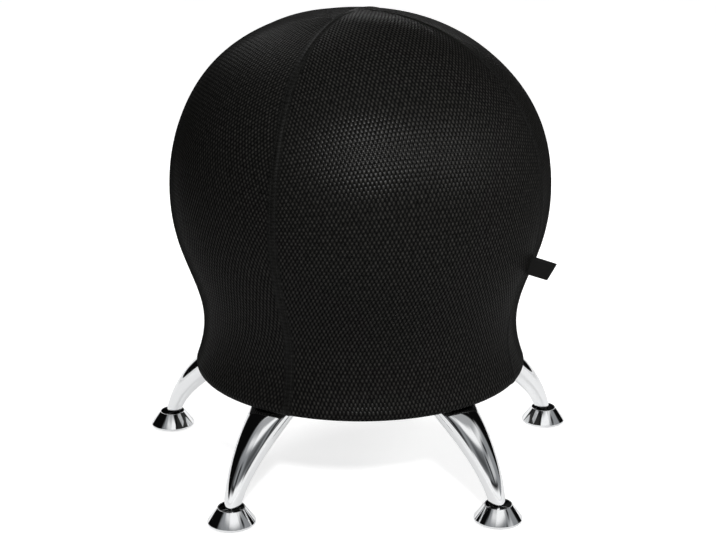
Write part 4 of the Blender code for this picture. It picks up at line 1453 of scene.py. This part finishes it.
def add_lamps(stage, chrome):
    """Softboxes round the seat; chrome would mirror them as white squares, so it sees the walls alone."""
    add_lamp("top_softbox", Vector((0, -0.4, 2.7)), Vector((0, 0, 0)), 2.2, stage.top_power, chrome)
    seat = SEAT_MIDDLE
    behind = seat + Vector((-0.65, 1.4, 1.15))
    add_lamp("front_softbox", seat + Vector((0.11, -1.62, 1.02)), seat, 0.16, stage.key_power, chrome)
    add_lamp("side_softbox", seat + Vector((1.32, -0.82, 0.69)), seat, 0.45, stage.side_power, chrome)
    add_lamp("rim_softbox", behind, seat, 0.6, stage.rim_power, chrome)
    add_lamp("back_softbox", seat + Vector((0.25, 1.9, 0.30)), seat, 0.8, stage.back_power, chrome)
    unlit = shut_out("chrome_and_cloth", CHROME_NAMES + CLOTH_NAMES)
    add_lamp("floor_softbox", behind, seat, 0.6, stage.floor_power, unlit)


def add_camera(stage):
    """Camera that sees the stool as the photograph does."""
    view = bpy.data.cameras.new("stool_view")
    view.lens = stage.lens
    view.sensor_width = SENSOR_MM
    camera = bpy.data.objects.new("stool_view", view)
    bpy.context.scene.collection.objects.link(camera)
    camera.location = stage.camera_place
    camera.rotation_euler = (math.pi / 2 - stage.camera_tilt, 0, -stage.camera_turn)
    return camera


class STOOL_OT_stage(Operator):
    """Set up the white floor, the soft light and the camera"""
    bl_idname = "stool.stage"
    bl_label = "Stage"

    def execute(self, context):
        scene = context.scene
        stage = scene.stool.stage
        scene.view_settings.view_transform = "Standard"
        scene.world = add_room(stage)
        # The mesh takes its light from the lamps, because so white a floor would grey its outline
        cloth = shut_out("cloth_pieces", CLOTH_NAMES)
        for backdrop in (add_floor(stage), add_surround(stage)):
            backdrop.light_linking.receiver_collection = cloth
        add_lamps(stage, shut_out("chrome_pieces", CHROME_NAMES))
        scene.camera = add_camera(stage)
        return {"FINISHED"}


# Add-on

OPERATORS = (STOOL_OT_cover, STOOL_OT_tab, STOOL_OT_hem, STOOL_OT_ball, STOOL_OT_base, STOOL_OT_legs,
             STOOL_OT_feet, STOOL_OT_stage)


class STOOL_PT_panel(Panel):
    """Lists the stool's pieces and their settings"""
    bl_idname = "STOOL_PT_panel"
    bl_label = "Balance stool"
    bl_space_type = "VIEW_3D"
    bl_region_type = "UI"
    bl_category = "Stool"

    def draw(self, context):
        for operator in OPERATORS:
            self.layout.operator(operator.bl_idname)
        stool = context.scene.stool
        for group in (stool.cover, stool.trim, stool.legs, stool.feet, stool.stage):
            box = self.layout.box()
            for name in group.__annotations__:
                box.prop(group, name)


CLASSES = (StoolCover, StoolTrim, StoolLegs, StoolFeet, StoolStage, StoolSettings, *OPERATORS,
           STOOL_PT_panel)


def register():
    for cls in CLASSES:
        bpy.utils.register_class(cls)
    bpy.types.Scene.stool = PointerProperty(type=StoolSettings)


def unregister():
    del bpy.types.Scene.stool
    for cls in reversed(CLASSES):
        bpy.utils.unregister_class(cls)


def main():
    register()
    bpy.ops.stool.cover()
    bpy.ops.stool.tab()
    bpy.ops.stool.hem()
    bpy.ops.stool.ball()
    bpy.ops.stool.base()
    bpy.ops.stool.legs()
    bpy.ops.stool.feet()
    # The stage comes last, because its lamps leave pieces out by their names
    bpy.ops.stool.stage()


if __name__ == "__main__":
    main()
